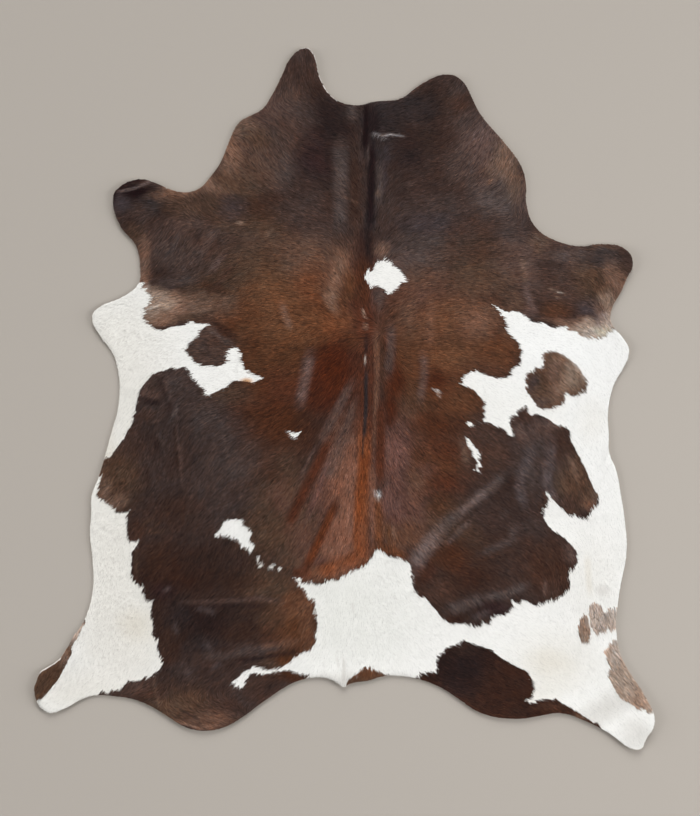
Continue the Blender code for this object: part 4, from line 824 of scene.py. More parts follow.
# And narrow streaks: half width on the chart, how much, and the line.
brownStreaks = [
    # The ink and blue black lines along the spine, here and further down, are the spine line's own
    # dark, laid darker as painted shade in the spine groove and neck channel.
    ("ink", 1.8, 1, [(366, 103), (366, 125), (365, 145)]),
    ("blue black", 5, 0.9, [(374, 144), (377, 158), (376, 176)]),
    ("blue black", 5.5, 0.95, [(372, 142), (373, 180), (371, 215), (369, 236)]),
    ("ink", 3.4, 0.85, [(370, 139), (372, 158), (371.6, 182), (370.6, 205), (369.6, 232)]),
    ("ink", 2.4, 0.9, [(365.6, 124), (365.2, 138), (365, 150)]),
    ("light slate", 3, 0.75, [(379, 164), (380.6, 186), (378, 204)]),
    ("light slate", 1, 0.6, [(368, 146), (368.6, 162)]),
    ("pink fawn", 1.6, 0.8, [(376.6, 192), (379, 196)]),
    # A painted sheen band on the low ridge left of the neck channel.
    ("light slate", 6, 0.95, [(340, 142), (341, 170), (340, 200), (340, 228)]),
    ("sandy brown", 0.9, 0.7, [(343, 197), (352, 200), (360, 204)]),
    ("ink", 1.8, 0.8, [(114, 208), (114, 196), (120, 187), (132, 181), (146, 180)]),
    ("pale ash", 1.2, 0.7, [(118, 192), (130, 190), (142, 186), (152, 181)]),
    # Light and dark bands over the left shank's pleats: painted highlights on their ridges and
    # painted shade in their troughs.
    ("light slate", 2.5, 0.7, [(170, 254), (176, 242), (181, 230)]),
    ("umber", 2, 0.8, [(194, 246), (200, 232)]),
    ("light mauve", 3, 0.8, [(200, 256), (207, 243), (215, 230)]),
    ("warm mauve", 2.5, 0.8, [(204, 264), (212, 250), (219, 240)]),
    ("ash", 3, 0.8, [(211, 272), (217, 263), (223, 255)]),
    ("warm mauve", 3, 0.8, [(214, 290), (224, 276), (234, 264)]),
    ("beige tan", 2.4, 1, [(282, 303), (285, 315), (290, 328)]),
    ("umber", 1.1, 0.6, [(145, 320), (152, 327), (162, 329), (176, 325), (190, 321)]),
    ("light tan", 1.3, 1, [(147, 309), (153, 308), (159, 305)]),
    ("umber", 1, 0.6, [(150, 312), (160, 306.5)]),
    ("dark chestnut", 3, 0.85, [(212, 320), (224, 330), (237, 341)]),
    ("light slate", 1.8, 0.7, [(206, 327), (220, 337), (232, 346)]),
    ("grey umber", 3, 0.6, [(202, 336), (205, 350), (212, 360)]),
    ("beige brown", 9, 0.8, [(345, 246), (338, 268), (332, 292)]),
    ("warm tan", 5, 0.8, [(343, 256), (337, 272), (333, 290), (331, 304)]),
    ("russet", 5, 0.9, [(350, 272), (350, 286), (347, 302)]),
    ("warm tan", 4, 0.6, [(325, 292), (331, 302), (336, 313)]),
    ("ash", 4.6, 1, [(310, 352), (306, 375), (300, 405)]),
    ("light mauve", 4, 0.8, [(352, 382), (340, 404), (328, 428), (320, 446)]),
    ("light mauve", 3, 0.6, [(356, 398), (347, 424), (338, 450)]),
    # Painted shade in the spine groove, over the spine line's own dark.
    ("blue black", 1.8, 1, [(366, 366), (366, 400), (365, 445)]),
    ("black brown", 1.8, 0.9, [(366, 334), (366, 354)]),
    ("pale tan", 0.9, 0.8, [(363.5, 310), (364.6, 318)]),
    ("tan", 0.9, 0.7, [(364.8, 322), (365.4, 330)]),
    ("light tan", 0.8, 0.8, [(365, 356), (365.4, 363)]),
    ("light slate", 1.4, 0.9, [(370, 134), (380, 135), (392, 134.8), (405, 136.8)]),
    ("steel grey", 0.8, 0.85, [(383.5, 136.6), (389.5, 135), (396, 135.8), (403, 136.8)]),
    ("steel grey", 0.7, 0.6, [(372, 133.6), (377.4, 135), (381, 137.6), (386, 140.6)]),
    ("bright white", 1.2, 1, [(373.5, 492.4), (376, 494)]),
    ("bright white", 1.4, 1, [(377, 495), (381, 493)]),
    ("light tan", 0.9, 0.7, [(378, 497), (379, 501)]),
    ("light tan", 1, 0.8, [(374, 498), (379, 497.4)]),
    ("white", 0.8, 0.8, [(435, 390.6), (440, 391)]),
    ("light tan", 0.8, 0.8, [(437.4, 392), (439, 397)]),
    ("beige brown", 2.5, 0.7, [(376, 324), (377, 370), (376, 420), (374, 450)]),
    ("light mauve", 2.2, 0.7, [(380, 290), (380, 312)]),
    ("light slate", 4, 0.7, [(391, 322), (391, 350), (388, 376)]),
    ("beige brown", 3, 0.7, [(409, 302), (410, 326)]),
    ("beige brown", 3, 0.6, [(431, 300), (430, 346)]),
    ("ash", 3, 0.7, [(423, 352), (424, 375), (420, 402)]),
    ("brick", 3.5, 0.8, [(381, 400), (381, 440), (379, 480)]),
    ("pink fawn", 2.2, 0.8, [(522, 258), (525, 284)]),
    ("ash", 3, 0.9, [(525, 286), (529, 302), (536, 315)]),
    ("warm mauve", 1.5, 0.7, [(519, 270), (521, 292), (526, 310)]),
    ("fawn", 2, 0.6, [(534, 240), (540, 256)]),
    ("tan", 0.8, 0.4, [(549, 288.5), (556, 290.5)]),
    ("light tan", 0.8, 0.7, [(557, 291.8), (561.5, 293)]),
    ("tan", 0.8, 0.5, [(556.5, 297.5), (559.5, 297.7)]),
    # Pairs of light and dark lines on the left flank's wrinkles: painted highlights beside their
    # ridges and painted shade in their creases.
    ("black brown", 2.4, 1, [(142, 399), (153, 402), (163, 403)]),
    ("light mauve", 2, 0.9, [(140, 394), (151, 395), (161, 397)]),
    ("black brown", 1.8, 0.9, [(160, 376), (163, 388), (167, 399)]),
    ("light mauve", 1.4, 0.8, [(166, 374), (167, 388), (171, 397)]),
    ("light mauve", 1, 0.8, [(178, 432), (181, 460), (184, 490)]),
    ("dark umber", 1.6, 0.9, [(174, 424), (176, 440), (178, 470)]),
    ("dark umber", 2, 0.6, [(208, 398), (216, 404), (224, 412)]),
    ("light slate", 2, 0.9, [(172, 420), (176, 410), (179, 401)]),
    ("black brown", 2.6, 0.7, [(169, 402), (170, 412)]),
    ("black brown", 2.4, 0.7, [(154, 438), (160, 452)]),
    ("light slate", 1, 0.7, [(158, 432), (164, 444)]),
    ("dark umber", 1.6, 0.6, [(141, 450), (147, 474), (150, 492)]),
    ("dark fawn", 1, 0.7, [(142, 524), (150, 520), (160, 526)]),
    ("fawn", 1, 0.7, [(146, 530), (156, 532), (168, 530)]),
    ("dark fawn", 1.2, 0.8, [(136, 548), (137, 575)]),
    # Along the haunch creases: painted highlights beside the creases, painted shade in them, and
    # dabs of painted sheen.
    ("light mauve", 1.6, 0.8, [(178, 603), (205, 601), (240, 600), (262, 598), (284, 602)]),
    ("black brown", 1.6, 0.8, [(178, 607), (210, 606), (245, 605), (270, 607)]),
    ("slate", 3.5, 0.9, [(196, 657), (228, 655), (252, 649), (288, 645)]),
    ("beige brown", 2.5, 0.6, [(262, 646), (284, 643), (302, 641)]),
    ("black brown", 2, 0.8, [(236, 661), (266, 657), (302, 650)]),
    ("light lavender", 2, 0.7, [(164, 590), (170, 588)]),
    ("light lavender", 2, 0.6, [(196, 608), (208, 610), (216, 614)]),
    ("light lavender", 2, 0.5, [(174, 624), (178, 634)]),
    ("light lavender", 2.5, 0.5, [(206, 640), (210, 650)]),
    ("light lavender", 2.5, 0.6, [(186, 670), (190, 676)]),
    ("light lavender", 2.5, 0.6, [(212, 668), (220, 664)]),
    # The buttock line's painted highlight and shade, and the buttock fold's painted shade with a
    # painted light band below it.
    ("pink fawn", 1.1, 0.8, [(154, 679), (156, 692), (161, 707)]),
    ("dark umber", 1, 0.5, [(156, 680), (158, 700)]),
    ("umber", 1.1, 0.8, [(180, 709), (190, 714), (200, 719)]),
    ("beige tan", 1.5, 0.8, [(176, 720), (200, 728), (222, 724)]),
    ("bright copper", 6, 0.9, [(364, 424), (364, 470), (362, 520), (360, 562)]),
    ("burnt orange", 4.5, 0.9, [(367, 440), (363, 470), (359, 505), (358, 535), (361, 560)]),
    # Painted shade in the spine groove, over the spine line's own dark.
    ("blue black", 1.5, 1, [(366, 396), (365, 420), (363.5, 440)]),
    ("dark umber", 0.9, 0.9, [(363.5, 438), (362.5, 458)]),
    # Brick bands on the rust pleats: the hair's own rust tone, laid darker as painted shade in the
    # pleats.
    ("brick", 4.6, 1, [(331, 436), (321, 458), (304, 492), (286, 530)]),
    ("warm copper", 5, 0.5, [(328, 574), (338, 570), (350, 563), (362, 556), (370, 549)]),
    ("brick", 3, 0.8, [(300, 576), (306, 574.5), (312, 575.5)]),
    ("dark russet", 4, 0.5, [(314, 569), (322, 566), (331, 564)]),
    # Painted shade in the second rust pleat, over the hair's rust tone.
    ("brick", 4, 1, [(339, 496), (328, 520), (319, 540), (308, 563), (302, 574)]),
    ("burnt orange", 3.4, 0.45, [(334, 506), (324, 529), (317, 546), (307, 566)]),
    ("warm copper", 4, 0.35, [(361, 520), (360, 548)]),
    # The light mauve, rose and copper rose streaks here are painted sheen and a painted highlight
    # on the folds between the pleats.
    ("light mauve", 1.6, 0.7, [(316, 446), (306, 464), (300, 478)]),
    ("rose", 2.4, 0.8, [(332, 452), (320, 486), (306, 520)]),
    ("copper rose", 5, 0.8, [(348, 470), (346, 510), (344, 545)]),
    ("oxblood", 5, 0.8, [(388, 398), (391, 414), (388, 428)]),
    ("brick", 3.6, 0.95, [(381, 404), (380, 440), (380, 484)]),
    ("copper rose", 3, 0.7, [(372, 466), (373, 500), (374, 545)]),
    ("copper", 4, 0.95, [(378, 498), (379, 520), (379, 546)]),
    ("rose", 6, 0.9, [(388, 490), (388, 512)]),
    ("ochre", 6, 0.9, [(384, 522), (390, 536), (398, 546)]),
    ("copper", 4, 0.9, [(376, 546), (390, 550), (406, 556)]),
    ("bright copper", 5, 0.65, [(316, 574), (340, 563), (357, 556), (370, 549)]),
    ("copper rose", 4, 0.3, [(300, 578), (318, 578)]),
    # Painted sheen on the fold beside the spine.
    ("light mauve", 6, 0.7, [(345, 432), (336, 455), (327, 480)]),
    ("russet", 1.4, 0.7, [(389, 526), (389, 544)]),
    ("beige tan", 1.6, 0.7, [(393, 528), (395, 540)]),
    # Grey and pale streaks on the long fold's lip are painted sheen; the umber line in its groove
    # is painted shade.
    ("light slate", 4, 0.9, [(504, 475), (492, 487), (478, 498)]),
    ("pale ash", 3.2, 0.8, [(488, 490), (470, 504), (458, 515)]),
    ("light slate", 5, 0.8, [(462, 512), (446, 523), (436, 534)]),
    ("pale ash", 7, 0.95, [(440, 532), (430, 543), (420, 556), (414, 568)]),
    ("light lavender", 1.6, 0.8, [(470, 521), (458, 532), (446, 545)]),
    ("umber", 2.2, 0.6, [(498, 492), (476, 510), (456, 526), (442, 544)]),
    ("chestnut", 2.6, 0.8, [(446, 544), (434, 556), (424, 572), (418, 584)]),
    # Painted sheen on the right flank's two ridges.
    ("light lavender", 4, 0.95, [(531, 446), (528, 460), (522, 474), (519, 488), (524, 507)]),
    ("light lavender", 4, 0.95, [(553, 440), (548, 466), (547, 486), (556, 502)]),
    ("pink fawn", 2.4, 0.6, [(569, 456), (574, 468), (578, 482)]),
    # The slate, light slate, lavender and light mauve streaks below are painted sheen on the inner
    # wave and haunch wave folds.
    ("slate", 2.2, 0.6, [(500, 520), (508, 510)]),
    ("slate", 3.4, 0.9, [(514, 523), (512, 539), (499, 546), (480, 554)]),
    ("light slate", 3.2, 0.95, [(528, 584), (506, 594), (482, 598)]),
    ("light slate", 5, 0.95, [(484, 597), (466, 605), (447, 610)]),
    ("light lavender", 2.6, 0.8, [(488, 611), (474, 618)]),
    ("light mauve", 1.4, 0.8, [(546, 580), (544, 598)]),
    ("pink fawn", 3, 0.6, [(463, 440), (465, 452), (467, 464)]),
    ("light tan", 1.6, 0.9, [(558, 352.6), (566, 356), (573, 361), (581, 372), (587, 382)]),
    ("dark umber", 1.6, 0.5, [(214, 541), (232, 540), (244, 552)]),
]

# The same on the white hair.
whiteSpots = [
    ("cream", 110, 350, 60, 60, 0, 0.8), ("cream", 128, 420, 40, 50, 0, 0.8),
    ("straw", 100, 448, 14, 26, 15, 0.6), ("cream", 110, 560, 50, 110, 0, 0.9),
    ("cream", 126, 640, 40, 50, 0, 0.9), ("straw", 138, 624, 18, 16, 0, 0.35),
    ("cream", 80, 692, 60, 24, 0, 0.9), ("chalk", 350, 610, 70, 60, 0, 0.9),
    ("bright white", 560, 345, 80, 50, 0, 0.9), ("bright white", 596, 430, 34, 110, 0, 0.5),
    ("cream", 592, 420, 14, 24, 0, 0.4), ("cream", 590, 575, 24, 50, 0, 0.3),
    ("cream", 555, 660, 40, 28, 0, 0.7), ("straw", 548, 664, 24, 14, -10, 0.3),
    ("smudge and crease shade", 604, 590, 7, 5, 0, 0.6), ("orange", 246.5, 382, 6, 4, 0, 1),
    # The greyer spots along the white hair's lower edges, here and on the next two lines, are
    # painted shade.
    ("painted hem shade", 600, 712, 46, 14, 33, 0.75), ("painted hem shade", 636, 734, 16, 18, 0, 0.7),
    ("painted hem shade", 345, 684, 16, 12, 0, 0.9), ("painted hem shade", 310, 680, 30, 6, 0, 0.6),
    ("smudge and crease shade", 266, 565, 22, 12, 0, 0.9), ("painted hem shade", 400, 679, 40, 5, 0, 0.6),
    ("cream", 540, 690, 40, 14, 20, 0.8),
]
whiteStreaks = [
    ("smudge and crease shade", 4, 0.3, [(99, 312), (106, 340), (114, 370), (115, 410), (108, 440)]),
    ("smudge and crease shade", 1.4, 0.6, [(343, 655), (344, 670), (343, 684)]),
    ("smudge and crease shade", 1.2, 0.5, [(336, 655), (339, 668)]),
    ("smudge and crease shade", 1, 0.5, [(354, 612), (352, 603)]),
    ("straw", 3, 0.3, [(587, 555), (588, 575), (590, 595)]),
    # The two lines below are painted shade in the creases of the left strip.
    ("smudge and crease shade", 1, 0.5, [(97, 530), (103, 528), (108, 525)]),
    ("smudge and crease shade", 1, 0.4, [(112, 545), (115, 540), (118, 536)]),
]


def nearBox(places, x, y, reachX, reachY):
    gap = np.abs(places - (x, y))
    return np.flatnonzero((gap[:, 0] < reachX) & (gap[:, 1] < reachY))


def tonesAt(places, base, spots, streaks):
    # base colour at each place, with the spots and streaks brushed over it
    colour = base.copy()
    spread = coatFinish["spotReach"]
    wander = np.column_stack((softNoise(places, 13, 11), softNoise(places, 13, 12)))
    wander += 0.5 * np.column_stack((softNoise(places, 5, 13), softNoise(places, 5, 14)))
    blurred = places + wander * coatFinish["wander"]
    for tone, x, y, reachX, reachY, turn, amount in spots:
        reach = spread * max(reachX, reachY)
        near = nearBox(blurred, x, y, reach, reach)
        angle = math.radians(-turn)
        gap = blurred[near] - (x, y)
        along = gap[:, 0] * math.cos(angle) + gap[:, 1] * math.sin(angle)
        across = gap[:, 1] * math.cos(angle) - gap[:, 0] * math.sin(angle)
        radius = (along / (spread * reachX)) ** 2 + (across / (spread * reachY)) ** 2
        share = amount * np.clip(1 - radius, 0, 1) ** 1.5
        colour[near] += (linear(coatTones[tone]) - colour[near]) * share[:, None]
    for tone, halfWidth, amount, line in streaks:
        line = np.array(line, float)
        low, high = line.min(axis=0) - 2 * halfWidth, line.max(axis=0) + 2 * halfWidth
        near = nearBox(places, *(low + high) / 2, *(high - low) / 2)
        gap, along = segmentDistance(places[near] + coatFinish["streakWander"] * wander[near],
                                     line)
        fade = np.clip(np.sin(math.pi * np.clip(along, 0.04, 0.96)) * 2.5, 0, 1)
        radius = (gap / (coatFinish["streakReach"] * halfWidth)) ** 2
        share = amount * fade * np.clip(1 - radius, 0, 1) ** 1.2
        colour[near] += (linear(coatTones[tone]) - colour[near]) * share[:, None]
    return colour


coatFinish = {
    "veil": 0.0075,           # grey gloss that the light lays over the hair
    "brownGain": 1.13,        # albedo of the brown hair for its shown tone
    "darkGain": 0.11,         # more of it for the darker tones
    "darkTone": 0.25,         # the tone at which that ends
    "brownWarm": 0.018,       # a little warmth in the dark tones
    "darkest": 0.0015,        # no brown hair is darker
    "whiteGain": 1.02,        # albedo of the white hair for its shown tone
    "mottle": 0.10,           # cloudy light and dark in the brown
    "rust": 0.07,             # and cloudy warm and cool
    "wander": 2.6,            # how far the soft spots' edges wander
    "spotReach": 1.45,        # how far their soft edges reach out
    "streakWander": 0.25,     # the same for the streaks
    "streakReach": 1.6,
}
patchTones = {
    "plain": "umber",
    "left shank band": "dark fawn",
    "shoulder island": "fawn",
    "tail": "fawn",
    "right buttock": "dark chestnut",
    "inner blot": "tan",
    "outer blot": "light tan",
    "right shank band": "pale tan",
}


def cloudy(places, broad, fine, seed):
    # soft noise with lumps of two sizes
    return 0.6 * softNoise(places, broad, seed) + 0.4 * softNoise(places, fine, seed + 1)


def coatColour(places, patch):
    # patch holds -1 for white hair, 0 for the brown ground, or a patch's place in patchTones
    bases = linear([coatTones[tone] for tone in patchTones.values()])
    brown = tonesAt(places, bases[np.maximum(patch, 0)], brownSpots, brownStreaks)
    cloud = cloudy(places, 16, 5, 5) * coatFinish["mottle"]
    warm = cloudy(places, 11, 4, 7) * coatFinish["rust"]
    dark = np.clip(1 - brown.max(axis=1) / coatFinish["darkTone"], 0, 1)
    warm += coatFinish["brownWarm"] * dark
    gain = coatFinish["brownGain"] + coatFinish["darkGain"] * dark
    brown *= (1 + cloud)[:, None] * np.column_stack((1 + warm, 1 - 0.3 * warm, 1 - warm))
    brown = np.maximum(brown - coatFinish["veil"], coatFinish["darkest"]) * gain[:, None]
    ground = np.tile(linear(coatTones["white"]), (len(places), 1))
    pale = tonesAt(places, ground, whiteSpots, whiteStreaks) * coatFinish["whiteGain"]
    return np.clip(np.where((patch < 0)[:, None], pale, brown), 0.0, 0.95)


# The hair: small closed tufts, each a slim spike with a ridge, rooted in the leather and
# combed along the flow. Each layer is one joined mesh over the whole hide.
hair = {
    "spacing": 0.00398,       # between roots
    "uneven": 0.42,           # how far they lie off an even net, in spacings
    "clump": 0.0085,          # width of the locks that tufts gather into
    "clumpUneven": 0.45,      # how far the locks lie off an even net, in widths
    "gather": 0.22,           # how strongly they gather
    "lengthSpread": 0.16,     # how far tufts differ in length
    "lockLength": 0.10,       # and locks
    "widthSpread": 0.18,      # and tufts in width
    "liftSpread": 0.25,       # and in lift
    "shorter": (0.8, 0.62, 0.46, 0.32, 0.2),   # parts of its length tried at the cut edge
    "ragged": 0.0058,         # how far a lock's tip runs over the edge of its patch
    "shows": 0.66,            # the part of a tuft, from its root, that shows the most
    "sink": 0.0003,           # root below the leather's face
    "overhang": 0.0016,       # hair past the cut edge
    "stray": 4.0,             # spread of the tufts' headings in degrees
    "tuftLight": 0.26,        # spread of lightness from tuft to tuft
    "cornerLight": 0.2,       # and along each tuft
    "tuftWarm": 0.05,         # and of warmth
    "lockLight": 0.05,        # the same from lock to lock
    "fineStreak": 0.12,       # lightness of fine streaks along the hair
    "fineSize": (0.0055, 0.028),   # their width and length
    "broadStreak": 0.09,      # and of broad ones
    "broadSize": (0.015, 0.09),
    "whiteShare": 0.05,       # how much of all this the white hair shows
    "whiteGrain": 0.25,       # the same for the strand grain of its material
    "edgeLight": 0.5,         # dark hair grows lighter at the cut edge
    "edgeReach": 0.009,       # how far in it does
    "edgeTone": 0.4,          # the tone from which it doesn't
    "round": 0.20,            # how far a tuft's two sides shade apart
    "whiteRound": 0.03,       # the same on white hair
    "whiteLift": 0.4,         # white hair lies flatter
    "evenShade": 0.8,         # how much the folds' shading is evened out
    "seed": 31,
}
hairLayers = {
    "hair_undercoat": {"length": 0.013, "width": 0.0044, "ridge": 0.0006, "lift": 6.0},
    "hair_coat_inner": {"length": 0.015, "width": 0.0038, "ridge": 0.0006, "lift": 7.5},
    "hair_coat_outer": {"length": 0.017, "width": 0.0034, "ridge": 0.0007, "lift": 9.0},
    "hair_guard": {"length": 0.019, "width": 0.0029, "ridge": 0.0007, "lift": 10.5},
}

# Stretches of the cut edge that show a bare rim of leather, on the chart, with its width in mm.
bareRims = [
    ([(303, 48), (312, 52), (317, 60), (319, 72), (321, 84), (327, 94), (333, 99)], 2.0),
    ([(44, 669), (52, 664), (58, 659)], 2.6),
    ([(653, 712), (652, 728), (645, 744), (638, 748)], 1.2),
]
rimHair = {
    "reach": 0.015,           # how near a rim's line its hair keeps clear of it
    "spacing": 0.0018,        # between the extra roots behind a rim
    "depth": 0.010,           # how deep they go
    "side": 0.4,              # part of a tuft's width that lies to each side of its root
}


edgeTree = KDTree(len(cutEdge) * 4)
for index, place in enumerate(rounded(cutEdge, 4)):
    edgeTree.insert((place[0], place[1], 0.0), index)
edgeTree.balance()


def edgeGap(points):
    return np.array([edgeTree.find((x, y, 0.0))[2] for x, y in points])


def rimDistance(places):
    # how far the hair stays back from the cut edge, in metres
    back = np.full(len(places), -hair["overhang"])
    for line, width in bareRims:
        gap, _ = segmentDistance(places, np.array(line, float))
        back[gap * chart["step"] < rimHair["reach"]] = width * 0.001
    return back


def clearOfRims(points, width):
    # roots beside a bare rim, moved in until the sides of their tufts clear it
    points = points.copy()
    back = rimDistance(onChart(points))
    for index in np.flatnonzero(back > 0):
        nearest, _, gap = edgeTree.find((*points[index], 0.0))
        short = back[index] + rimHair["side"] * width - gap
        if short > 0:
            away = points[index] - np.array(nearest[:2])
            points[index] += away / max(gap, 1e-6) * short
    return points


def heightField(piece):
    # heights of the leather's upper face on an even raster
    pitch = 0.005
    low, high = np.array(cadBox[0]), np.array(cadBox[1])
    wide = int((high[0] - low[0]) / pitch) + 3
    tall = int((high[1] - low[1]) / pitch) + 3
    tree = BVHTree.FromObject(piece, bpy.context.evaluated_depsgraph_get())
    field = np.full((wide, tall), np.nan)
    for i in range(wide):
        for j in range(tall):
            x, y = low[0] + (i - 1) * pitch, low[1] + (j - 1) * pitch
            hit = tree.ray_cast(Vector((x, y, 1.0)), Vector((0, 0, -1)))[0]
            if hit is not None:
                field[i, j] = hit.z
    # what lies outside takes the height of the nearest edge, a ring at a time
    rings = 6
    for _ in range(rings):
        empty = np.isnan(field)
        padded = np.pad(field, 1, constant_values=np.nan)
        around = np.stack([padded[1 + i:padded.shape[0] - 1 + i, 1 + j:padded.shape[1] - 1 + j]
                           for i in (-1, 0, 1) for j in (-1, 0, 1)])
        known = ~np.isnan(around)
        mean = np.where(known, around, 0).sum(axis=0) / np.maximum(known.sum(axis=0), 1)
        field = np.where(empty & known.any(axis=0), mean, field)
    field = np.nan_to_num(field, nan=hideSheet["leather"])
    return field, low[:2] - pitch, pitch


def readField(field, points):
    # height and unit normal at each point
    grid, origin, pitch = field
    at = (points - origin) / pitch
    cell = np.clip(np.floor(at).astype(int), 1, np.array(grid.shape) - 3)
    part = at - cell

    def height(shift):
        x, y = cell[:, 0] + shift[0], cell[:, 1] + shift[1]
        low = grid[x, y] * (1 - part[:, 0]) + grid[x + 1, y] * part[:, 0]
        high = grid[x, y + 1] * (1 - part[:, 0]) + grid[x + 1, y + 1] * part[:, 0]
        return low * (1 - part[:, 1]) + high * part[:, 1]

    slopeX = (height((1, 0)) - height((-1, 0))) / (2 * pitch)
    slopeY = (height((0, 1)) - height((0, -1))) / (2 * pitch)
    normal = np.column_stack((-slopeX, -slopeY, np.ones(len(points))))
    return height((0, 0)), normal / np.linalg.norm(normal, axis=1)[:, None]


def scattered(rng, spacing, low, high):
    # an uneven scatter of points on the hide, between two corners
    rowPitch = spacing * math.sqrt(3) / 2
    rows = int((high[1] - low[1]) / rowPitch) + 2
    columns = int((high[0] - low[0]) / spacing) + 2
    x = low[0] + (np.arange(columns)[None, :] + 0.5 * (np.arange(rows) % 2)[:, None]) * spacing
    y = np.broadcast_to(low[1] + np.arange(rows)[:, None] * rowPitch, x.shape)
    points = np.column_stack((x.ravel(), y.ravel()))
    points += rng.uniform(-hair["uneven"], hair["uneven"], points.shape) * spacing
    return points[insideOf(points, cutEdge)]


def rootPoints():
    rng = seeded(hair["seed"])
    points = scattered(rng, hair["spacing"], np.array(cadBox[0])[:2], np.array(cadBox[1])[:2])
    back = rimDistance(onChart(points))
    kept = np.ones(len(points), bool)
    near = np.flatnonzero(back > 0)
    kept[near] = edgeGap(points[near]) > back[near]
    points = points[kept]
    points = points[rng.permutation(len(points))]

    # more roots close behind the bare rims, so that the hair ends there in a clean line
    for line, _ in bareRims:
        line = onHide(line)
        extra = scattered(rng, rimHair["spacing"], line.min(axis=0) - rimHair["reach"],
                          line.max(axis=0) + rimHair["reach"])
        back = rimDistance(onChart(extra))
        gap = edgeGap(extra)
        extra = extra[(back > 0) & (gap > back) & (gap < back + rimHair["depth"])]
        points = np.concatenate((points, extra[rng.permutation(len(extra))]))
    return points


def lockOf(points):
    # the lock that each point belongs to, by the nearest of a scatter of middles
    rng = seeded(hair["seed"] + 1)
    low, high = np.array(cadBox[0])[:2] - 0.02, np.array(cadBox[1])[:2] + 0.02
    width = hair["clump"]
    x, y = np.meshgrid(np.arange(low[0], high[0], width), np.arange(low[1], high[1], width))
    middles = np.column_stack((x.ravel(), y.ravel()))
    middles += rng.uniform(-hair["clumpUneven"], hair["clumpUneven"], middles.shape) * width
    tree = KDTree(len(middles))
    for index, (px, py) in enumerate(middles):
        tree.insert((px, py, 0.0), index)
    tree.balance()
    lock = np.array([tree.find((px, py, 0.0))[1] for px, py in points])
    return lock, middles


def turned(heading, angle):
    cos, sin = np.cos(angle), np.sin(angle)
    return np.column_stack((heading[:, 0] * cos - heading[:, 1] * sin,
                            heading[:, 0] * sin + heading[:, 1] * cos))


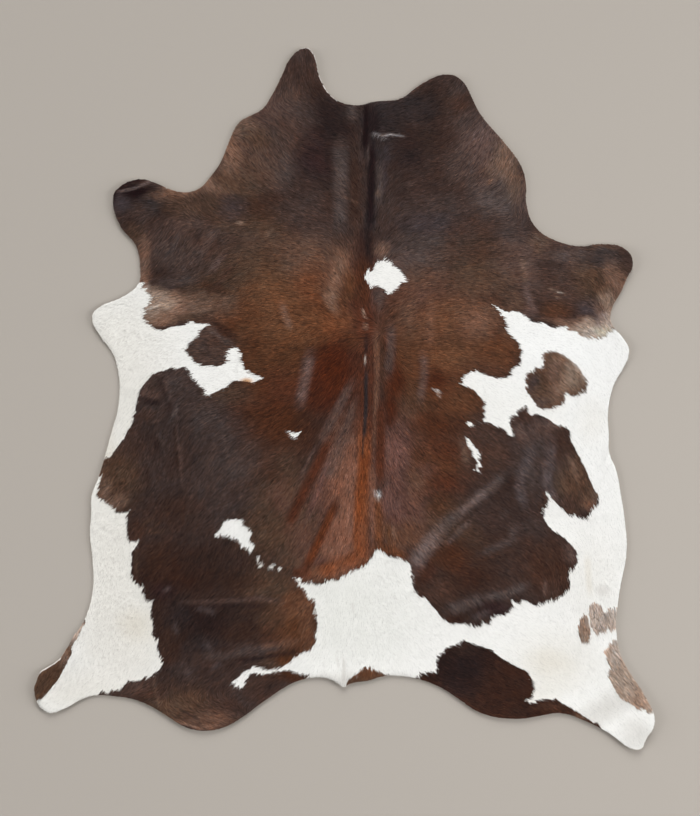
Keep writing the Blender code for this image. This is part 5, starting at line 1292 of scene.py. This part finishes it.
def makeHairLayer(name, layer, points, locks, field, seed):
    rng = seeded(seed)
    count = len(points)
    lock, middles = locks
    points = clearOfRims(points, layer["width"])
    places = onChart(points)
    heading = combed(places)
    lockRandom = seeded(hair["seed"] + 2).uniform(-1, 1, (len(middles), 4))[lock]

    # tufts of a lock lean together, and each strays a little
    side = np.column_stack((-heading[:, 1], heading[:, 0]))
    offset = ((middles[lock] - points) * side).sum(axis=1)
    angle = np.clip(offset / layer["length"], -0.3, 0.3) * hair["gather"]
    angle += np.radians(hair["stray"] * (0.7 * lockRandom[:, 0] + rng.normal(0, 1, count)))
    heading = turned(heading, angle)
    length = layer["length"] * (1 + hair["lengthSpread"] * rng.uniform(-1, 1, count)
                                + hair["lockLength"] * lockRandom[:, 1])
    width = layer["width"] * (1 + hair["widthSpread"] * rng.uniform(-1, 1, count))

    # no tip runs further past the cut edge than the overhang, or over a bare rim
    back = rimDistance(places)
    beside = np.flatnonzero(back > 0)
    for share in hair["shorter"]:
        tips = points + heading * (length + back)[:, None]
        over = ~insideOf(tips, cutEdge)
        tips = points[beside] + heading[beside] * length[beside][:, None]
        over[beside] |= edgeGap(tips) < back[beside]
        length[over] = layer["length"] * share
    width = np.where(length < layer["length"] * 0.5, width * 0.8, width)

    # locks run over a patch's edge, so each tuft is white or brown as a whole
    astray = 0.75 * lockRandom[:, 2] + 0.4 * rng.uniform(-1, 1, count)
    reach = length * hair["shows"] + hair["ragged"] * astray
    patch = patchAt(onChart(points + heading * reach[:, None]))
    white = patch < 0

    height, normal = readField(field, points)
    flat = np.column_stack((heading, np.zeros(count)))
    along = flat - (flat * normal).sum(axis=1)[:, None] * normal
    along /= np.linalg.norm(along, axis=1)[:, None]
    across = np.cross(normal, along)
    root = np.column_stack((points, height)) - normal * hair["sink"]
    lift = np.radians(layer["lift"] * (1 + hair["liftSpread"] * rng.uniform(-1, 1, count)))
    lift = np.where(white, lift * hair["whiteLift"], lift)
    rise = length * np.sin(lift) + hair["sink"]
    ahead = length * np.cos(lift)
    corners = np.empty((count, 4, 3))
    corners[:, 0] = root + across * (width / 2)[:, None]
    corners[:, 1] = root - across * (width / 2)[:, None]
    corners[:, 2] = (root + along * (0.3 * ahead)[:, None]
                     + normal * (0.3 * rise + layer["ridge"])[:, None])
    corners[:, 3] = root + along * ahead[:, None] + normal * rise[:, None]
    faces = np.array([(0, 1, 2), (0, 3, 1), (0, 2, 3), (1, 3, 2)])
    faces = (np.arange(count)[:, None, None] * 4 + faces).reshape(-1, 3)

    # the colour follows the coat's tones along each tuft, and varies from one to the next
    vary = (hair["tuftLight"] * rng.normal(0, 1, count) + hair["lockLight"] * lockRandom[:, 3]
            + hair["fineStreak"] * combedNoise(points, heading, *hair["fineSize"], 21)
            + hair["broadStreak"] * combedNoise(points, heading, *hair["broadSize"], 22))
    vary = np.clip(1 + np.where(white, hair["whiteShare"], 1) * vary, 0.4, 2)
    warm = np.where(white, 0, hair["tuftWarm"]) * rng.normal(0, 1, count)
    vary = vary[:, None] * np.column_stack((1 + warm, np.ones(count), 1 - warm))
    shades = np.ones((count, 4, 4))
    shades[:, :, 3] = np.where(white, hair["whiteGrain"], 1)[:, None]
    seen = np.concatenate((points, corners[:, 2, :2], corners[:, 3, :2]))
    tone = coatColour(onChart(seen), np.tile(patch, 3)).reshape(3, count, 3)
    atEdge = np.exp(-(edgeGap(points) / hair["edgeReach"]) ** 2)
    dark = np.clip(1 - tone[0].max(axis=1) / hair["edgeTone"], 0, 1)
    vary = vary * (1 + hair["edgeLight"] * atEdge * dark)[:, None]
    patchiness = hair["cornerLight"] * np.where(white, hair["whiteShare"], 1)
    for corner, place in enumerate((0, 0, 1, 2)):
        if corner != 1:
            patchy = np.clip(1 + patchiness * rng.normal(0, 1, count), 0.5, 1.6)
        shades[:, corner, :3] = np.clip(tone[place] * vary * patchy[:, None], 0, 0.95)

    mesh = bpy.data.meshes.new(name)
    mesh.vertices.add(count * 4)
    mesh.vertices.foreach_set("co", corners.astype(np.float32).ravel())
    mesh.loops.add(len(faces) * 3)
    mesh.loops.foreach_set("vertex_index", faces.astype(np.int32).ravel())
    mesh.polygons.add(len(faces))
    mesh.polygons.foreach_set("loop_start", np.arange(0, len(faces) * 3, 3, dtype=np.int32))
    mesh.update(calc_edges=True)
    coat = mesh.attributes.new("coat", "FLOAT_COLOR", "POINT")
    coat.data.foreach_set("color", shades.astype(np.float32).ravel())

    # each tuft has its own cell on the map and fills a small part of it, so that its colour
    # stays its own
    cells = int(math.ceil(math.sqrt(count)))
    middle = (np.column_stack((np.arange(count) % cells, np.arange(count) // cells)) + 0.5) / cells
    spread = np.array([(-1, -1), (1, -1), (-1, 1), (1, 1)]) * 0.11 / cells
    spots = (middle[:, None, :] + spread).reshape(-1, 2)
    uvMap = mesh.uv_layers.new(name="OFBake")
    uvMap.uv.foreach_set("vector", spots[faces.ravel()].astype(np.float32).ravel())

    # a tuft shades with the hide's own slope, a little rounded from side to side
    rounding = np.where(white, hair["whiteRound"], hair["round"])[:, None]
    even = normal + hair["evenShade"] * np.array((0, 0, 1))
    shading = np.repeat(even[:, None, :] / np.linalg.norm(even, axis=1)[:, None, None], 4, axis=1)
    shading[:, 0] += across * rounding
    shading[:, 1] -= across * rounding
    shading /= np.linalg.norm(shading, axis=2)[..., None]
    mesh.polygons.foreach_set("use_smooth", np.ones(len(faces), bool))
    mesh.normals_split_custom_set_from_vertices(shading.reshape(-1, 3))

    piece = bpy.data.objects.new(name, mesh)
    bpy.context.scene.collection.objects.link(piece)
    return piece


def addNode(tree, kind, **settings):
    node = tree.nodes.new(kind)
    for key, value in settings.items():
        setattr(node, key, value)
    return node


def newMaterial(name, roughness, specular):
    material = bpy.data.materials.new(name)
    material.use_nodes = True
    shader = material.node_tree.nodes["Principled BSDF"]
    shader.inputs["Roughness"].default_value = roughness
    shader.inputs["Specular IOR Level"].default_value = specular
    return material, material.node_tree, shader


def noiseFrom(tree, scale, detail=3.0):
    place = addNode(tree, "ShaderNodeTexCoord")
    noise = addNode(tree, "ShaderNodeTexNoise")
    noise.inputs["Scale"].default_value = scale
    noise.inputs["Detail"].default_value = detail
    tree.links.new(place.outputs["Object"], noise.inputs["Vector"])
    return noise


def ramped(tree, source, low, high, fromLow=0.3, fromHigh=0.7):
    span = addNode(tree, "ShaderNodeMapRange")
    span.inputs["From Min"].default_value = fromLow
    span.inputs["From Max"].default_value = fromHigh
    span.inputs["To Min"].default_value = low
    span.inputs["To Max"].default_value = high
    tree.links.new(source, span.inputs["Value"])
    return span.outputs["Result"]


hairFinish = {
    "roughness": 0.5,
    "specular": 0.15,
    "strandScale": 380,       # fine strands within a tuft
    "strandLight": 0.13,      # how far they differ in lightness
    "glossSpread": (-0.06, 0.08),   # and in roughness
}


def hairMaterial(name):
    material, tree, shader = newMaterial(name, hairFinish["roughness"], hairFinish["specular"])
    coat = addNode(tree, "ShaderNodeAttribute", attribute_name="coat")
    strands = noiseFrom(tree, hairFinish["strandScale"], 3.0)
    spread = hairFinish["strandLight"]
    light = addNode(tree, "ShaderNodeMath", operation="MULTIPLY_ADD")
    light.inputs[2].default_value = 1
    tree.links.new(ramped(tree, strands.outputs["Fac"], -spread, spread), light.inputs[0])
    tree.links.new(coat.outputs["Alpha"], light.inputs[1])
    shade = addNode(tree, "ShaderNodeVectorMath", operation="SCALE")
    tree.links.new(coat.outputs["Color"], shade.inputs[0])
    tree.links.new(light.outputs["Value"], shade.inputs["Scale"])
    tree.links.new(shade.outputs["Vector"], shader.inputs["Base Color"])
    glossier, duller = hairFinish["glossSpread"]
    gloss = ramped(tree, strands.outputs["Fac"], hairFinish["roughness"] + glossier,
                   hairFinish["roughness"] + duller)
    tree.links.new(gloss, shader.inputs["Roughness"])
    return material


suedeFinish = {
    "pale": (222, 210, 190),
    "dark": (196, 180, 156),
    "rim": (226, 220, 215),
    "rimLine": 0.0025,        # width of the pale line where a rim is bare
    # The skin under the hair is painted darker than the hair's own tone, as shade between the
    # tufts.
    "shadeUnderHair": 0.85,        # the skin under the hair, against the hair's own tone
    "roughness": 0.92,
    "specular": 0.18,
    "cloudScale": 9,          # broad clouds of pale and dark
    "fibreScale": 620,        # and the nap
    "fibreLight": (0.9, 1.06),
    "bump": 0.5,
    "bumpDepth": 0.0008,
}


def leatherMaterial(name, pale, dark):
    material, tree, shader = newMaterial(name, suedeFinish["roughness"], suedeFinish["specular"])
    cloud = noiseFrom(tree, suedeFinish["cloudScale"], 5.0)
    fibre = noiseFrom(tree, suedeFinish["fibreScale"], 3.0)
    ramp = addNode(tree, "ShaderNodeValToRGB")
    ramp.color_ramp.elements[0].position = 0.36
    ramp.color_ramp.elements[0].color = (*linear(dark), 1)
    ramp.color_ramp.elements[1].position = 0.64
    ramp.color_ramp.elements[1].color = (*linear(pale), 1)
    tree.links.new(cloud.outputs["Fac"], ramp.inputs["Fac"])
    shade = addNode(tree, "ShaderNodeVectorMath", operation="SCALE")
    tree.links.new(ramp.outputs["Color"], shade.inputs[0])
    nap = ramped(tree, fibre.outputs["Fac"], *suedeFinish["fibreLight"])
    tree.links.new(nap, shade.inputs["Scale"])
    tree.links.new(shade.outputs["Vector"], shader.inputs["Base Color"])
    bump = addNode(tree, "ShaderNodeBump")
    bump.inputs["Strength"].default_value = suedeFinish["bump"]
    bump.inputs["Distance"].default_value = suedeFinish["bumpDepth"]
    tree.links.new(fibre.outputs["Fac"], bump.inputs["Height"])
    tree.links.new(bump.outputs["Normal"], shader.inputs["Normal"])
    return material


def dressSheet(sheet):
    # the upper face wears the roots of the hair, the underside suede, the rim raw leather
    mesh = sheet.data
    points = np.array([vert.co[:] for vert in mesh.vertices])
    places = onChart(points[:, :2])
    # the upper face takes the coat's colours, painted darker as shade under the tufts
    colour = coatColour(places, patchAt(places)) * suedeFinish["shadeUnderHair"]
    # where a rim is bare, the edge of the upper face is pale
    bare = np.flatnonzero(rimDistance(places) > 0)
    bare = bare[edgeGap(points[bare, :2]) < suedeFinish["rimLine"]]
    colour[bare] = linear(suedeFinish["rim"])
    coat = mesh.attributes.new("coat", "FLOAT_COLOR", "POINT")
    shades = np.column_stack((colour, np.ones(len(points))))
    coat.data.foreach_set("color", shades.astype(np.float32).ravel())
    mesh.materials.clear()
    mesh.materials.append(hairMaterial("hair_roots"))
    mesh.materials.append(leatherMaterial("suede_underside", suedeFinish["pale"],
                                          suedeFinish["dark"]))
    mesh.materials.append(leatherMaterial("raw_cut_edge", suedeFinish["rim"],
                                          suedeFinish["pale"]))
    normals = np.array([face.normal.z for face in mesh.polygons])
    worn = np.where(normals > 0.35, 0, np.where(normals < -0.35, 1, 2))
    mesh.polygons.foreach_set("material_index", worn.astype(np.int32))
    mesh.update()


dressSheet(sheet)
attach(sheet, "root")
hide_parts("hide")

field = heightField(sheet)
roots = rootPoints()
print("hair roots", len(roots))
coatHair = hairMaterial("cow_hair")
for number, (name, layer) in enumerate(hairLayers.items()):
    own = roots[number::len(hairLayers)]
    piece = makeHairLayer(name, layer, own, lockOf(own), field, hair["seed"] + 10 + number)
    piece.data.materials.append(coatHair)
    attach(piece, "root")
    print(name, len(piece.data.polygons), "faces")

# Floor, lights and camera.
studio = {
    "floor": (172, 165, 157),
    "floorSize": 60.0,
    "floorHeight": -0.0005,
    "floorRoughness": 0.9,
    "floorSpecular": 0.1,
    "world": (252, 252, 252),
    "worldStrength": 0.26,
    "fillPower": 60,
    "fillPlace": (3.6, -0.8, 3.2),
    "fillSize": 3.0,
    "lampDistance": 5,
}
# Large soft lamps far off: strength, height over the floor, turn from the neck end towards the
# right, and softness, the last three in degrees.
softLamps = {
    "key_light": (2.35, 31, 4, 38),
    "left_light": (1.9, 17, -95, 30),
    "right_light": (1.9, 17, 95, 30),
}


def makeFloor():
    deselectAll()
    bpy.ops.mesh.primitive_plane_add(size=studio["floorSize"],
                                     location=(0, 0, studio["floorHeight"]))
    floor = bpy.context.object
    floor.name = "floor"
    material, _, shader = newMaterial("plain_floor", studio["floorRoughness"],
                                      studio["floorSpecular"])
    shader.inputs["Base Color"].default_value = (*linear(studio["floor"]), 1)
    floor.data.materials.append(material)


def placeLamp(name, light, place):
    lamp = bpy.data.objects.new(name, light)
    bpy.context.scene.collection.objects.link(lamp)
    lamp.location = place
    lamp.rotation_euler = (-Vector(place)).to_track_quat("-Z", "Y").to_euler()


def makeLights():
    for name, (strength, height, turn, softness) in softLamps.items():
        light = bpy.data.lights.new(name, "SUN")
        light.energy = strength
        light.angle = math.radians(softness)
        height, turn = math.radians(height), math.radians(turn)
        far = studio["lampDistance"]
        placeLamp(name, light, (far * math.cos(height) * math.sin(turn),
                                far * math.cos(height) * math.cos(turn),
                                far * math.sin(height)))
    fill = bpy.data.lights.new("fill_light", "AREA")
    fill.shape = "DISK"
    fill.size = studio["fillSize"]
    fill.energy = studio["fillPower"]
    placeLamp("fill_light", fill, studio["fillPlace"])


makeFloor()
makeLights()
world = bpy.data.worlds.new("studio")
world.use_nodes = True
sky = world.node_tree.nodes["Background"]
sky.inputs["Color"].default_value = (*linear(studio["world"]), 1)
sky.inputs["Strength"].default_value = studio["worldStrength"]
bpy.context.scene.world = world
bpy.context.scene.view_settings.view_transform = "Standard"

view = {
    "lens": 85.0,
    "sensor": 36.0,
    "frame": (700, 816),      # the picture, in chart steps
}
lens = bpy.data.cameras.new("camera")
lens.lens = view["lens"]
lens.sensor_width = view["sensor"]
camera = bpy.data.objects.new("camera", lens)
bpy.context.scene.collection.objects.link(camera)
middle = onHide([(view["frame"][0] / 2, view["frame"][1] / 2)])[0]
distance = view["frame"][1] * chart["step"] * view["lens"] / view["sensor"]
camera.location = (middle[0], middle[1], distance)
bpy.context.scene.camera = camera
